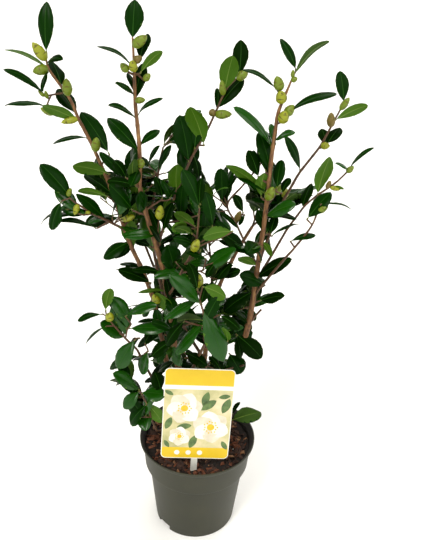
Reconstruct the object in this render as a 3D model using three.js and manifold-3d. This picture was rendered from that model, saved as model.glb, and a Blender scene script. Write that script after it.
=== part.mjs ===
// Camellia shrub in a round plastic nursery pot, with its plant label.
// Millimetres, +Z up. The origin is the centre of the pot's flat underside.
// The viewer stands at -Y, so +X is the right of the plant and +Y its back.

import * as THREE from "three";
import { mergeVertices } from "three/addons/utils/BufferGeometryUtils.js";
import Module from "manifold-3d";

const wasm = await Module();
wasm.setup();

// Driving dimensions of the pot
const POT_HEIGHT = 130;
const RIM_RADIUS = 75;
const BASE_RADIUS = 53;
const COLLAR_HEIGHT = 39;
const COLLAR_TOP_RADIUS = 70.6;
const COLLAR_FOOT_RADIUS = 68;
const BODY_TOP_RADIUS = 62.8;
const WALL = 1.4;
const FLOOR = 2;
const LIP_HEIGHT = 3.5;
const LIP_SLOPE = 3.5;
const BASE_EDGE = 2;
const POT_SIDES = 36;
const NOTCH = { width: 22, height: 8, depth: 5, angle: 220 };
const DRAIN = { radius: 5, circle: 38, count: 6, sides: 8 };

// Driving dimensions of the soil and the label
const SOIL_LEVEL = 118;
const SOIL_RELIEF = 1.4;
const FLAT_SOIL_RADIUS = 27;
const LABEL = { width: 83, height: 126, corner: 6, thickness: 0.8 };
const STAKE = { width: 8, length: 42 };
const LABEL_FOOT = [-3, -54, 138];
const LABEL_TURN = { back: 5, aside: 3, lean: 2.2 };

// Clearance between neighbouring pieces
const GAP = 0.3;
const LEAF_GAP = 0.5;

// Shape of the limbs and of the leaf masses
const LIMB_SIDES = 6;
const LIMB_STEP = 38;
const FLARE = { gain: 0.9, height: 9, rings: [6, 14, 30] };
const MASS_DETAIL = 2;
const SMALL_MASS = { reach: 184, detail: 1 };
const MASS_SEED = 11;
const MASS_LUMPS = 10;
const LUMP_GAIN = 0.8;
const LUMP_SHARPNESS = 12;

const COLOURS = {
  pot: 0x4c4c44,
  soil: 0x3a2518,
  label: 0xf2d64b,
  wood: 0x8a6a4a,
  young: 0x9a6a48,
  leaves: 0x2f5a25,
};

// The stems stand on the soil, each through its own points, from its thick to its thin radius.
// What a stem or bough ends in is the leaf mass at its tip.
const STEMS = {
  left_stem: {
    through: [[-14, 2, 112], [-40, 0, 235], [-62, 0, 348], [-84, 7, 395], [-99, 12, 442],
              [-118, 16, 495], [-133, 14, 528], [-152, 11, 574]],
    radius: [3.6, 1.5],
    endsIn: "left_tip_leaves",
  },
  centre_stem: {
    through: [[-5, -9, 112], [-27, -14, 250], [-45, -12, 373], [-60, -22, 436],
              [-68, -29, 468], [-67, -36, 512], [-73, -38, 590]],
    radius: [4.2, 1.7],
    endsIn: "centre_left_tip_leaves",
  },
  right_stem: {
    through: [[14, -1, 112], [38, 3, 215], [56, 2, 290], [62, -3, 378], [66, -10, 455],
              [67, -16, 520], [70, -20, 566]],
    radius: [4.7, 1.7],
    endsIn: "right_tip_leaves",
  },
  back_stem: {
    through: [[2, 14, 112], [6, 36, 225], [14, 56, 300], [38, 78, 352], [66, 92, 400]],
    radius: [3.9, 1.8],
    endsIn: "back_right_leaves",
  },
};

// Each bough starts at the middle of the limb that carries it, and is cut back to its bark.
const BOUGHS = {
  centre_bough: {
    from: "centre_stem",
    through: [[-52, -16, 404], [-37, 0, 450], [-21, 14, 490], [3, 23, 536], [14, 26, 562]],
    radius: [1.9, 1.2],
    endsIn: "centre_tip_leaves",
  },
  centre_back_bough: {
    from: "centre_stem",
    through: [[-34, -13, 300], [-52, 14, 352], [-64, 40, 410], [-58, 62, 455]],
    radius: [2.0, 1.4],
    endsIn: "centre_back_leaves",
  },
  back_left_bough: {
    from: "back_stem",
    through: [[6, 36, 222], [-24, 56, 262], [-54, 70, 316], [-78, 82, 372]],
    radius: [2.2, 1.4],
    endsIn: "back_left_leaves",
  },
  back_bough: {
    from: "back_stem",
    through: [[13, 54, 292], [11, 84, 328], [8, 98, 356]],
    radius: [1.8, 1.3],
    endsIn: "back_centre_leaves",
  },
  left_side_bough: {
    from: "left_stem",
    through: [[-90, 9, 414], [-109, -8, 432], [-134, -20, 450]],
    radius: [1.6, 1.1],
    endsIn: "left_side_leaves",
  },
  low_left_bough: {
    from: "left_stem",
    through: [[-27, 1, 172], [-50, -9, 204], [-64, -18, 245], [-77, -30, 284], [-92, -44, 310]],
    radius: [1.8, 1.2],
    endsIn: "low_left_leaves",
  },
  left_rim_bough: {
    from: "left_stem",
    through: [[-19, 1, 138], [-40, -20, 152], [-54, -34, 162]],
    radius: [1.4, 1.1],
    endsIn: "left_rim_leaves",
  },
  centre_high_bough: {
    from: "centre_stem",
    through: [[-41, -13, 340], [-30, -32, 368], [-16, -46, 410]],
    radius: [1.7, 1.2],
    endsIn: "centre_high_leaves",
  },
  front_bough: {
    from: "centre_stem",
    through: [[-20, -13, 204], [-8, -26, 256], [4, -52, 300], [2, -78, 335]],
    radius: [2.1, 1.4],
    endsIn: "front_leaves",
  },
  centre_right_bough: {
    from: "right_stem",
    through: [[62, -3, 380], [48, 10, 400], [32, 28, 428]],
    radius: [1.5, 1.1],
    endsIn: "centre_right_leaves",
  },
  far_right_bough: {
    from: "right_stem",
    through: [[63, -4, 386], [73, 6, 413], [90, 20, 459], [105, 28, 485], [128, 33, 518], [139, 34, 545]],
    radius: [1.8, 1.2],
    endsIn: "far_right_tip_leaves",
  },
  right_twig_bough: {
    from: "right_stem",
    through: [[61, -1, 358], [80, 6, 394], [97, 3, 433], [114, -6, 464], [132, -14, 484]],
    radius: [1.6, 1.0],
    endsIn: "far_right_leaves",
  },
  right_side_bough: {
    from: "right_stem",
    through: [[60, 0, 340], [79, -17, 380], [92, -30, 408], [106, -44, 436]],
    radius: [1.6, 1.1],
    endsIn: "right_side_leaves",
  },
  right_short_bough: {
    from: "right_stem",
    through: [[57, 2, 300], [68, -3, 320], [78, -8, 336]],
    radius: [1.4, 1.0],
    endsIn: "right_short_leaves",
  },
  right_low_bough: {
    from: "right_stem",
    through: [[44, 3, 236], [53, -14, 250], [60, -28, 266]],
    radius: [1.6, 1.1],
    endsIn: "right_low_leaves",
  },
  right_rim_bough: {
    from: "right_stem",
    through: [[21, 0, 142], [40, -10, 156], [58, -20, 168]],
    radius: [1.4, 1.1],
    endsIn: "right_rim_leaves",
  },
};

// Each mass of leaves spreads from its middle, by its own reach to the left and right,
// to the front and back, and down and up.
const LEAF_MASSES = {
  left_tip_leaves: { at: [-168, 10, 590], reach: [43, 26, 34, 34, 48, 65] },
  left_upper_leaves: { at: [-133, 15, 512], reach: [36, 30, 30, 30, 28, 29] },
  left_side_leaves: { at: [-146, -26, 458], reach: [28, 28, 34, 28, 44, 40] },
  left_inner_leaves: { at: [-98, 6, 440], reach: [30, 30, 34, 32, 44, 40] },
  centre_left_tip_leaves: { at: [-75, -38, 602], reach: [31, 31, 32, 32, 44, 56] },
  centre_left_upper_leaves: { at: [-73, -34, 511], reach: [33, 28, 32, 30, 34, 40] },
  centre_back_leaves: { at: [-54, 74, 493], reach: [34, 32, 34, 36, 50, 44] },
  centre_tip_leaves: { at: [20, 26, 585], reach: [22, 18, 28, 28, 40, 34] },
  centre_upper_leaves: { at: [-18, 12, 508], reach: [26, 26, 30, 30, 44, 46] },
  right_tip_leaves: { at: [77, -22, 588], reach: [46, 47, 34, 34, 36, 41] },
  right_upper_leaves: { at: [62, -14, 503], reach: [36, 36, 32, 32, 50, 44] },
  far_right_tip_leaves: { at: [137, 34, 550], reach: [33, 35, 30, 30, 46, 43] },
  far_right_leaves: { at: [142, -18, 494], reach: [30, 33, 26, 26, 30, 36] },
  right_side_leaves: { at: [112, -48, 446], reach: [32, 36, 30, 28, 36, 36] },
  right_inner_leaves: { at: [46, -24, 424], reach: [30, 30, 32, 30, 46, 32] },
  centre_right_leaves: { at: [26, 36, 446], reach: [28, 26, 28, 30, 44, 44] },
  centre_high_leaves: { at: [-12, -50, 432], reach: [36, 32, 36, 30, 50, 48] },
  front_leaves: { at: [0, -86, 350], reach: [48, 50, 34, 32, 54, 42] },
  front_low_leaves: { at: [16, -66, 288], reach: [32, 32, 30, 24, 18, 20] },
  low_left_leaves: { at: [-96, -50, 322], reach: [36, 42, 30, 32, 40, 36] },
  left_lower_leaves: { at: [-80, -26, 218], reach: [26, 28, 32, 30, 54, 56] },
  left_rim_leaves: { at: [-64, -40, 160], reach: [26, 15, 22, 24, 20, 22] },
  right_short_leaves: { at: [82, -10, 340], reach: [18, 24, 22, 22, 18, 18] },
  right_low_leaves: { at: [62, -32, 268], reach: [28, 28, 30, 26, 38, 38] },
  right_rim_leaves: { at: [64, -22, 172], reach: [22, 26, 24, 28, 22, 24] },
  back_right_leaves: { at: [78, 98, 425], reach: [36, 36, 34, 36, 46, 50] },
  back_centre_leaves: { at: [6, 106, 388], reach: [40, 38, 34, 36, 50, 52] },
  back_left_leaves: { at: [-86, 88, 410], reach: [38, 34, 34, 36, 48, 50] },
  back_low_left_leaves: { at: [-58, 72, 312], reach: [36, 34, 34, 34, 48, 42] },
  back_low_right_leaves: { at: [42, 70, 300], reach: [34, 34, 34, 36, 46, 44] },
  back_low_leaves: { at: [-6, 60, 208], reach: [44, 44, 26, 30, 40, 40] },
};

const radians = THREE.MathUtils.degToRad;

// A small repeatable source of numbers from 0 to 1
function numbersFrom(seed) {
  let state = seed;
  return () => {
    state = (state + 0x6d2b79f5) | 0;
    let t = Math.imul(state ^ (state >>> 15), 1 | state);
    t = (t + Math.imul(t ^ (t >>> 7), 61 | t)) ^ t;
    return ((t ^ (t >>> 14)) >>> 0) / 4294967296;
  };
}

// Geometry to solid and back, so that pieces can be cut by their neighbours
function solidOf(geometry) {
  const bare = geometry.clone();
  bare.deleteAttribute("normal");
  bare.deleteAttribute("uv");
  const merged = mergeVertices(bare, 1e-4);
  const vertProperties = new Float32Array(merged.attributes.position.array);
  const triVerts = new Uint32Array(merged.index.array);
  return new wasm.Manifold(new wasm.Mesh({ numProp: 3, vertProperties, triVerts }));
}

function geometryOf(solid) {
  const mesh = solid.getMesh();
  const geometry = new THREE.BufferGeometry();
  geometry.setAttribute("position", new THREE.BufferAttribute(mesh.vertProperties, 3));
  geometry.setIndex(new THREE.BufferAttribute(mesh.triVerts, 1));
  return geometry;
}

// The largest of the bodies that a cut leaves
function mainBody(solid) {
  const bodies = solid.decompose();
  return bodies.reduce((best, body) => (body.volume() > best.volume() ? body : best));
}

function overlaps(a, b) {
  return a.intersect(b).volume() > 0;
}

// A profile of [radius, height] pairs turned about the vertical axis
function turned(profile, sides) {
  const points = profile.map(([radius, height]) => new THREE.Vector2(radius, height));
  return new THREE.LatheGeometry(points, sides).rotateX(Math.PI / 2);
}

// The pot: a tapering body, a wider collar above a step, and a thin lip
const STEP_HEIGHT = POT_HEIGHT - COLLAR_HEIGHT;

function potProfile() {
  const lipFoot = POT_HEIGHT - LIP_HEIGHT - LIP_SLOPE;
  return [
    [0, 0],
    [BASE_RADIUS - BASE_EDGE, 0],
    [BASE_RADIUS, BASE_EDGE],
    [BODY_TOP_RADIUS, STEP_HEIGHT - 1],
    [COLLAR_FOOT_RADIUS, STEP_HEIGHT],
    [COLLAR_TOP_RADIUS, lipFoot],
    [RIM_RADIUS, POT_HEIGHT - LIP_HEIGHT],
    [RIM_RADIUS, POT_HEIGHT],
    [RIM_RADIUS - WALL, POT_HEIGHT],
    [COLLAR_TOP_RADIUS - WALL, lipFoot],
    [COLLAR_FOOT_RADIUS - WALL, STEP_HEIGHT + 1.5],
    [BODY_TOP_RADIUS - WALL, STEP_HEIGHT + 0.5],
    [BASE_RADIUS - 2 * WALL, FLOOR],
    [0, FLOOR],
  ];
}

function makePot() {
  let pot = solidOf(turned(potProfile(), POT_SIDES));
  for (let i = 0; i < DRAIN.count; i++) {
    const hole = new THREE.CylinderGeometry(DRAIN.radius, DRAIN.radius, 4 * FLOOR, DRAIN.sides);
    hole.rotateX(Math.PI / 2).translate(DRAIN.circle, 0, 0).rotateZ((i / DRAIN.count) * 2 * Math.PI);
    pot = pot.subtract(solidOf(hole));
  }
  for (const angle of [NOTCH.angle, NOTCH.angle - 180]) {
    const cut = new THREE.BoxGeometry(4 * NOTCH.depth, NOTCH.width, 2 * NOTCH.height);
    cut.translate(BASE_RADIUS + NOTCH.depth, 0, 0).rotateZ(radians(angle));
    pot = pot.subtract(solidOf(cut));
  }
  return pot;
}

// The soil fills the pot to just below the rim. Its top is flat around the stems and uneven further out.
function soilProfile() {
  const inside = WALL + 2 * GAP;
  const topRadius = COLLAR_TOP_RADIUS - inside - GAP;
  return [
    [0, FLOOR + GAP],
    [BASE_RADIUS - WALL - inside, FLOOR + GAP],
    [BODY_TOP_RADIUS - inside, STEP_HEIGHT + 1],
    [COLLAR_FOOT_RADIUS - inside, STEP_HEIGHT + 2],
    [topRadius, SOIL_LEVEL],
    [(topRadius + FLAT_SOIL_RADIUS) / 2, SOIL_LEVEL],
    [FLAT_SOIL_RADIUS, SOIL_LEVEL],
    [0, SOIL_LEVEL],
  ];
}

function makeSoil() {
  const geometry = turned(soilProfile(), POT_SIDES);
  const position = geometry.attributes.position;
  for (let i = 0; i < position.count; i++) {
    const x = position.getX(i);
    const y = position.getY(i);
    const out = Math.hypot(x, y);
    if (position.getZ(i) < SOIL_LEVEL - 1 || out < FLAT_SOIL_RADIUS + 1) continue;
    const angle = Math.atan2(y, x);
    const wave = Math.sin(3 * angle + out / 9) + 0.6 * Math.cos(7 * angle - out / 5);
    position.setZ(i, SOIL_LEVEL + SOIL_RELIEF * wave);
  }
  return solidOf(geometry);
}

// The label: a card with rounded corners on a stake, cut from one sheet of plastic
function labelGeometry(grow) {
  const half = LABEL.width / 2 + grow;
  const top = LABEL.height + grow;
  const foot = -grow;
  const r = LABEL.corner;
  const stake = STAKE.width / 2 + grow;
  const shape = new THREE.Shape();
  shape.moveTo(stake, foot);
  shape.lineTo(half - r, foot);
  shape.absarc(half - r, foot + r, r, -Math.PI / 2, 0);
  shape.absarc(half - r, top - r, r, 0, Math.PI / 2);
  shape.absarc(-half + r, top - r, r, Math.PI / 2, Math.PI);
  shape.absarc(-half + r, foot + r, r, Math.PI, Math.PI * 1.5);
  shape.lineTo(-stake, foot);
  shape.lineTo(-stake, -STAKE.length + STAKE.width / 2);
  shape.lineTo(0, -STAKE.length - grow);
  shape.lineTo(stake, -STAKE.length + STAKE.width / 2);
  const depth = LABEL.thickness + 2 * grow;
  const geometry = new THREE.ExtrudeGeometry(shape, { depth, bevelEnabled: false, curveSegments: 3 });
  return geometry.translate(0, 0, -depth / 2).rotateX(Math.PI / 2);
}

function labelPlace() {
  const { back, aside, lean } = LABEL_TURN;
  const turn = new THREE.Euler(radians(-back), radians(lean), radians(aside), "ZXY");
  return new THREE.Matrix4().makeRotationFromEuler(turn).setPosition(...LABEL_FOOT);
}

// A limb: a tapering rod bent along a smooth curve, with a flare where it stands on the soil
function limbStations(length, flared) {
  const steps = Math.max(3, Math.round(length / LIMB_STEP));
  const stations = [0];
  if (flared) stations.push(...FLARE.rings.map((height) => height / length));
  for (let i = flared ? 2 : 1; i <= steps; i++) stations.push(i / steps);
  return stations;
}

function limbSolid(limb, grow, flared) {
  const points = limb.through.map((point) => new THREE.Vector3(...point));
  const curve = new THREE.CatmullRomCurve3(points, false, "centripetal");
  const length = curve.getLength();
  const [thick, thin] = limb.radius;
  const profile = [new THREE.Vector2(0, 0)];
  for (const t of limbStations(length, flared)) {
    const flare = flared ? 1 + FLARE.gain * Math.exp((-t * length) / FLARE.height) : 1;
    profile.push(new THREE.Vector2(THREE.MathUtils.lerp(thick, thin, t) * flare + grow, t));
  }
  profile.push(new THREE.Vector2(0, 1));
  const geometry = new THREE.LatheGeometry(profile, LIMB_SIDES);
  const side = new THREE.Vector3(1, 0, 0);
  const position = geometry.attributes.position;
  for (let i = 0; i < position.count; i++) {
    const t = position.getY(i);
    const along = curve.getTangentAt(t);
    const across = new THREE.Vector3().crossVectors(along, side).normalize();
    const over = new THREE.Vector3().crossVectors(across, along);
    const point = curve.getPointAt(t);
    point.addScaledVector(across, position.getX(i));
    point.addScaledVector(over, position.getZ(i));
    position.setXYZ(i, point.x, point.y, point.z);
  }
  return solidOf(geometry);
}

// A leaf mass: a round form with lumps where shoots stand out, pulled out to its reach on each side
function lumpDirections(seed) {
  const random = numbersFrom(seed);
  const lumps = [];
  for (let i = 0; i < MASS_LUMPS; i++) {
    const height = 2 * random() - 1;
    const turn = 2 * Math.PI * random();
    const flat = Math.sqrt(1 - height * height);
    lumps.push(new THREE.Vector3(flat * Math.cos(turn), flat * Math.sin(turn), height));
  }
  return lumps;
}

function pulled(value, [low, high], [lowReach, highReach]) {
  return value < 0 ? (value / -low) * lowReach : (value / high) * highReach;
}

function massSolid(mass, seed, grow) {
  const lumps = lumpDirections(seed);
  const size = mass.reach.reduce((sum, reach) => sum + reach);
  const detail = size < SMALL_MASS.reach ? SMALL_MASS.detail : MASS_DETAIL;
  const geometry = new THREE.IcosahedronGeometry(1, detail);
  const position = geometry.attributes.position;
  const direction = new THREE.Vector3();
  for (let i = 0; i < position.count; i++) {
    direction.fromBufferAttribute(position, i).normalize();
    const swell = lumps.reduce((sum, l) => sum + Math.max(0, direction.dot(l)) ** LUMP_SHARPNESS, 0);
    direction.multiplyScalar(1 + LUMP_GAIN * Math.min(1, swell));
    position.setXYZ(i, direction.x, direction.y, direction.z);
  }
  geometry.computeBoundingBox();
  const { min, max } = geometry.boundingBox;
  const [left, right, front, back, down, up] = mass.reach.map((reach) => reach + grow);
  for (let i = 0; i < position.count; i++) {
    const x = mass.at[0] + pulled(position.getX(i), [min.x, max.x], [left, right]);
    const y = mass.at[1] + pulled(position.getY(i), [min.y, max.y], [front, back]);
    const z = mass.at[2] + pulled(position.getZ(i), [min.z, max.z], [down, up]);
    position.setXYZ(i, x, y, z);
  }
  return solidOf(geometry);
}

// Stems stay whole, and what lies below the soil's surface is cut off flat
function makeStems() {
  const depth = POT_HEIGHT / 2;
  const ground = new THREE.BoxGeometry(2 * RIM_RADIUS, 2 * RIM_RADIUS, depth);
  const below = solidOf(ground.translate(0, 0, SOIL_LEVEL + GAP - depth / 2));
  const stems = {};
  for (const [name, stem] of Object.entries(STEMS)) {
    stems[name] = {
      body: limbSolid(stem, 0, true).subtract(below),
      cutter: limbSolid(stem, GAP, true),
      endsIn: stem.endsIn,
    };
  }
  return stems;
}

function makeBoughs(stems) {
  const boughs = {};
  for (const [name, bough] of Object.entries(BOUGHS)) {
    boughs[name] = {
      body: mainBody(limbSolid(bough, 0, false).subtract(stems[bough.from].cutter)),
      cutter: limbSolid(bough, GAP, false),
      endsIn: bough.endsIn,
    };
  }
  return boughs;
}

// Limbs that run through a mass stay whole and the mass is cut round them.
// A limb ends where it enters the mass at its own tip, and masses keep clear of each other.
function makeMasses(limbs) {
  const masses = {};
  const placedMasses = [];
  let seed = MASS_SEED;
  for (const [name, mass] of Object.entries(LEAF_MASSES)) {
    seed += 1;
    let body = massSolid(mass, seed, 0);
    for (const earlier of placedMasses) {
      if (overlaps(body, earlier)) body = body.subtract(earlier);
    }
    placedMasses.push(massSolid(mass, seed, LEAF_GAP));
    for (const limb of limbs) {
      if (limb.endsIn !== name && overlaps(body, limb.cutter)) body = body.subtract(limb.cutter);
    }
    masses[name] = mainBody(body);
    for (const limb of limbs) {
      if (limb.endsIn === name) limb.body = mainBody(limb.body.subtract(placedMasses.at(-1)));
    }
  }
  return masses;
}

function material(colour, roughness) {
  return new THREE.MeshStandardMaterial({ color: colour, roughness, metalness: 0 });
}

function named(name, geometry, finish) {
  const mesh = new THREE.Mesh(geometry, finish);
  mesh.name = name;
  return mesh;
}

const shrub = new THREE.Group();

shrub.add(named("pot", geometryOf(makePot()), material(COLOURS.pot, 0.75)));

const stakeHole = labelGeometry(GAP).applyMatrix4(labelPlace());
const soil = makeSoil().subtract(solidOf(stakeHole));
shrub.add(named("potting_soil", geometryOf(soil), material(COLOURS.soil, 0.95)));

const label = named("plant_label", labelGeometry(0), material(COLOURS.label, 0.45));
label.applyMatrix4(labelPlace());
shrub.add(label);

const stems = makeStems();
const boughs = makeBoughs(stems);
const masses = makeMasses([...Object.values(stems), ...Object.values(boughs)]);

for (const [name, stem] of Object.entries(stems)) {
  shrub.add(named(name, geometryOf(stem.body), material(COLOURS.wood, 0.85)));
}
for (const [name, bough] of Object.entries(boughs)) {
  shrub.add(named(name, geometryOf(bough.body), material(COLOURS.young, 0.8)));
}
for (const [name, body] of Object.entries(masses)) {
  shrub.add(named(name, geometryOf(body), material(COLOURS.leaves, 0.5)));
}

export default shrub;
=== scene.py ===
import math
import random

import bmesh
import bpy
import numpy as np
from mathutils import Matrix, Vector, noise
from mathutils.bvhtree import BVHTree


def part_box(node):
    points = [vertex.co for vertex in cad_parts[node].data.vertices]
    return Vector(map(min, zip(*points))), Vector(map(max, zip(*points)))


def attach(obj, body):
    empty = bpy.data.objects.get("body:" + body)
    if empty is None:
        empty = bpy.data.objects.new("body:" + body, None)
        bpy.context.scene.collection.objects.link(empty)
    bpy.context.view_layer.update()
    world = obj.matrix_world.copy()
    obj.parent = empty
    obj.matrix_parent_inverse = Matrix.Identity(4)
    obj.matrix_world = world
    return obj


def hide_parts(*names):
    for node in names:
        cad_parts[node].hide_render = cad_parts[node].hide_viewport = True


# A camellia shrub of four stems in a nursery pot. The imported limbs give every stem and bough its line,
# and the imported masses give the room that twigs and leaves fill. Blender works in metres, and MM turns
# a size in millimetres into them. A reading is a place as the camera sees it in the upright plane
# through the pot's middle: across and up, in millimetres.
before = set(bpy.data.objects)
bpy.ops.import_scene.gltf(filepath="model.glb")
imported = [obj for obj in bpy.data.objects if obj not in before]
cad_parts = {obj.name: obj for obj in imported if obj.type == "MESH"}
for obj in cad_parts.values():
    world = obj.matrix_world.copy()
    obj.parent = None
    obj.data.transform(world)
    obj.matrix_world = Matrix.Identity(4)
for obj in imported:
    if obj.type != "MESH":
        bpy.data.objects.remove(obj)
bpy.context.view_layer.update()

MM = 0.001
PER_METRE = 1000
TINY = 1e-9
SEED = 7
BODY = "root"
UP = np.array([0.0, 0.0, 1.0])
GOLDEN_TURN = math.radians(137.5)

# The camera looks down on the pot from in front
CAMERA_BACK = 671
CAMERA_HEIGHT = 703.5
CAMERA_PITCH = 26.3
CAMERA_YAW = 1.8
CAMERA_ROLL = 2.8
CAMERA_LENS = 43.33
EYE = np.array([0.0, -CAMERA_BACK, CAMERA_HEIGHT]) * MM

# Pot. The inner corners of the step lie a little above the outer ones, and the inside starts behind the
# top of the rim. The notches' angles are in degrees, like the crisp angle past which an edge shows.
POT_HEIGHT = 130
RIM_RADIUS = 75
BASE_RADIUS = 53
STEP_HEIGHT = 91
STEP_SLOPE = 1.2
INNER_STEP_TOP = 1.5
INNER_STEP_FOOT = 0.5
COLLAR_TOP_RADIUS = 70.6
COLLAR_FOOT_RADIUS = 68
BODY_TOP_RADIUS = 62.8
POT_WALL = 1.4
POT_FLOOR = 2
POT_ROUNDING = 1.4
ROUNDING_STEPS = 4
POT_MESH_STEP = 3.5
POT_SIDES = 180
POT_CRISP = 40
LIP_HEIGHT = 3.5
LIP_SLOPE = 3.5
RIM_TOP = POT_HEIGHT - 0.2
NOTCH_WIDTH = 22
NOTCH_HEIGHT = 8
NOTCH_DEPTH = 5
NOTCH_EDGE = 1.2
NOTCH_ANGLES = (220, 40)
DRAIN_RADIUS = 5
DRAIN_CIRCLE = 38
DRAIN_COUNT = 6
DRAIN_SIDES = 32
FLOOR_RADIUS = DRAIN_CIRCLE + DRAIN_RADIUS + 2

# Soil: its surface, its lumps (how far apart, layer of the noise, height) and the gap to the wall, with
# chips of bark and white grit strewn on it, which turn, pitch and roll by radians
SOIL_LEVEL = 118
SOIL_RADIUS = 68.3
SOIL_RELIEF = 1.6
SOIL_LUMPS = ((14, 3, 1.4), (5, 8, 0.8))
SOIL_RINGS = 46
SOIL_SIDES = 150
SOIL_MIDDLE = 0.02
SOIL_GAP = 2.2
SOIL_FOOT_GAP = 4
SOIL_FOOT = POT_FLOOR + 0.4
CHIP_COUNT = 700
CHIP_CORNERS = 9
CHIP_EDGE = 0.5
CHIP_TURN = 6.28
CHIP_PITCH = 0.45
CHIP_ROLL = 0.4
CHIP_CRISP = 25
LONG_CHIPS = 0.5
CHIP_LENGTHS = (5, 15)
SHORT_CHIP = 0.55
CHIP_WIDTHS = (0.25, 0.6)
CHIP_DEPTHS = (1.2, 3.2)
CHIP_HEIGHTS = (-0.4, 2.0)
CHIP_SHARES = (0.52, 0.36, 0.12)
GRIT_COUNT = 16
GRIT_SIZES = (1.2, 2.2)
DARK_CHIP, RED_CHIP, TAN_CHIP, WHITE_GRIT = range(4)

# Label: its card, its stake, and where it stands, with its tilts in degrees
LABEL_WIDTH = 83
LABEL_HEIGHT = 126
LABEL_CORNER = 6
LABEL_THICKNESS = 0.8
CARD_FRONT = LABEL_THICKNESS / 2
STAKE_WIDTH = 8
STAKE_LENGTH = 42
STAKE_INSET = 0.05
CORNER_STEPS = 6
LABEL_FOOT = (-3, -54, 138)
LABEL_BACK = 5
LABEL_ASIDE = 3
LABEL_LEAN = 2.2
LABEL_CRISP = 30

# The generic print on the card: bands, a pale panel and dots
PRINT_EDGE = 0.9
PRINT_LAYER = 0.05
HEADER_FOOT = 103.5
STRIPE_FOOT = 98
FOOTER_TOP = 16
FOOTER_DOTS = (-22, -8, 6)
DOT_RADIUS = 3.3
PRINT_LEAF_WIDTH = 0.46

# A printed blossom: its rings of petals (how many, how far they reach), its middle and its dots, as
# shares of its size
PETAL_RINGS = ((6, 1), (5, 0.72))
PETAL_SHIFT = 20
PETAL_WIDTH = 0.95
PETAL_BLUNTNESS = 0.7
PETAL_STEPS = 12
BLOSSOM_MIDDLE = 0.2
BLOSSOM_DOTS = 14
DOT_RINGS = (0.36, 0.3)
DOT_SHARE = 0.045
DOT_SIDES = 8

# The print's blossoms (across, up, size, turn), its leaves (across, up, length, angle) and its inks
PRINT_BLOSSOMS = [(-16, 72, 22, 10), (17, 46, 23, 40), (-20, 32, 14, 25)]
PRINT_LEAVES = [(2, 70, 24, 35), (6, 76, 20, 75), (30, 66, 22, 70), (-31, 59, 18, 250), (-6, 48, 18, 190),
                (0, 34, 20, 250), (32, 26, 14, 300), (-38, 26, 12, 300), (24, 88, 14, 10), (-30, 90, 12, 150)]
INK_YELLOW, INK_CREAM, INK_PETAL, INK_SHADE, INK_LEAF, INK_GOLD = range(6)

# What materials share: the coat, the noise, the ramp from first to last colour, and the relief
COAT_ROUGHNESS = 0.2
PATTERN_DETAIL = 6
PATTERN_ROUGHNESS = 0.6
RAMP_START = 0.3
RAMP_REACH = 0.4
FINER_GRAIN = 4
GRAIN_DETAIL = 4
BUMP_DISTANCE = 0.0006

# Limbs: level cuts that read a packed one, sides and tips, the swollen nodes, and the bark's relief as
# a share of the radius
LIMB_CUTS = 22
CUT_INSET = 1.5 * MM
CUT_INSET_SHARE = 0.08
LEAST_CLIMB = 1e-6
SHORT_LIMB = 6
FIRST_SIDE = np.array([1.0, 0.3, 0.1])
BARK_STEP = 2.4 * MM
STEM_SIDES = 16
BOUGH_SIDES = 10
TWIG_SIDES = 7
TWIG_TIP = 0.75 * MM
SHOOT_TIP = TWIG_TIP * 1.2
TWIG_STEP = 3 * MM
NODE_SPACING = 19 * MM
NODE_LENGTH = 1.6 * MM
NODE_SWELL = 0.16
RELIEF = 0.09
FINE_RELIEF = 0.6
COARSE_BARK = np.array([0.8, 0.8, 0.16])
FINE_BARK = np.array([1.9, 1.9, 0.5])

# A leaf. Lengths, widths and bends are from the least to the most, and a width is a share of the length;
# bluntness, fold and curl are the least and what chance adds. Bends and twists are in radians.
LEAF_THICKNESS = 0.5
LEAF_LENGTHS = (40, 58)
LEAF_WIDTHS = (0.39, 0.5)
LEAF_BENDS = (0.3, 0.85)
LEAF_TWIST = 0.35
BEND_POWER = 1.35
FOOT_BLUNTNESS = 0.66
BLADE_END = 0.9995
WIDEST_OUT = 1.18
STALK_SHARE = 0.08
STALK_RADIUS = 0.75
STALK_DEPTH = 1.3
RIB_WIDTH = 1
RIB_TAPER = 0.75
RIB_SHARE = 0.6
RIB_DEPTH = 0.35
EDGE_LEAST = 0.25
TIP_HALF = 0.12
TEETH = 0.018
VEINS = 5.5
VEIN_SLANT = 0.9
VEIN_RELIEF = 0.24
WAVES = 1.3
WAVE_RELIEF = 0.05
BLUNTNESS = (0.44, 0.26)
FOLD = (0.2, 0.14)
CURL = (0.3, 0.14)
BLADE_ROWS = 15
STALK_ROWS = 2
LEAF_ROWS = BLADE_ROWS + STALK_ROWS
COLUMNS = np.array([-1, -0.68, -0.34, -0.01, 0.01, 0.34, 0.68, 1])
RIB_COLUMN = 3
DEEP, DARK, GREEN, FRESH = range(4)
UNDER, RIB_DARK, RIB_PALE, STALK = 4, 8, 9, 10

# A bud: a core in shells of scales, in shares of its length and radius
BUD_ROWS = 9
BUD_COLUMNS = 12
BUD_SCALES = 7
BUD_LAYER = 0.018
BUD_FOOT = 0.01
BUD_LENGTH = 0.985
BUD_WIDEST = 0.86
BUD_BLUNTNESS = 0.5
SCALE_ROWS = 8
SCALE_COLUMNS = 9
SCALE_SPREAD = math.radians(80)
SCALE_FROM = 0.36
SCALE_RISE = 0.62
SCALE_POWER = 2.4
SCALE_TUCK = 0.01
BUD_GREEN, BUD_YELLOW, BUD_BROWN, SCALE_EDGE = range(4)

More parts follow.
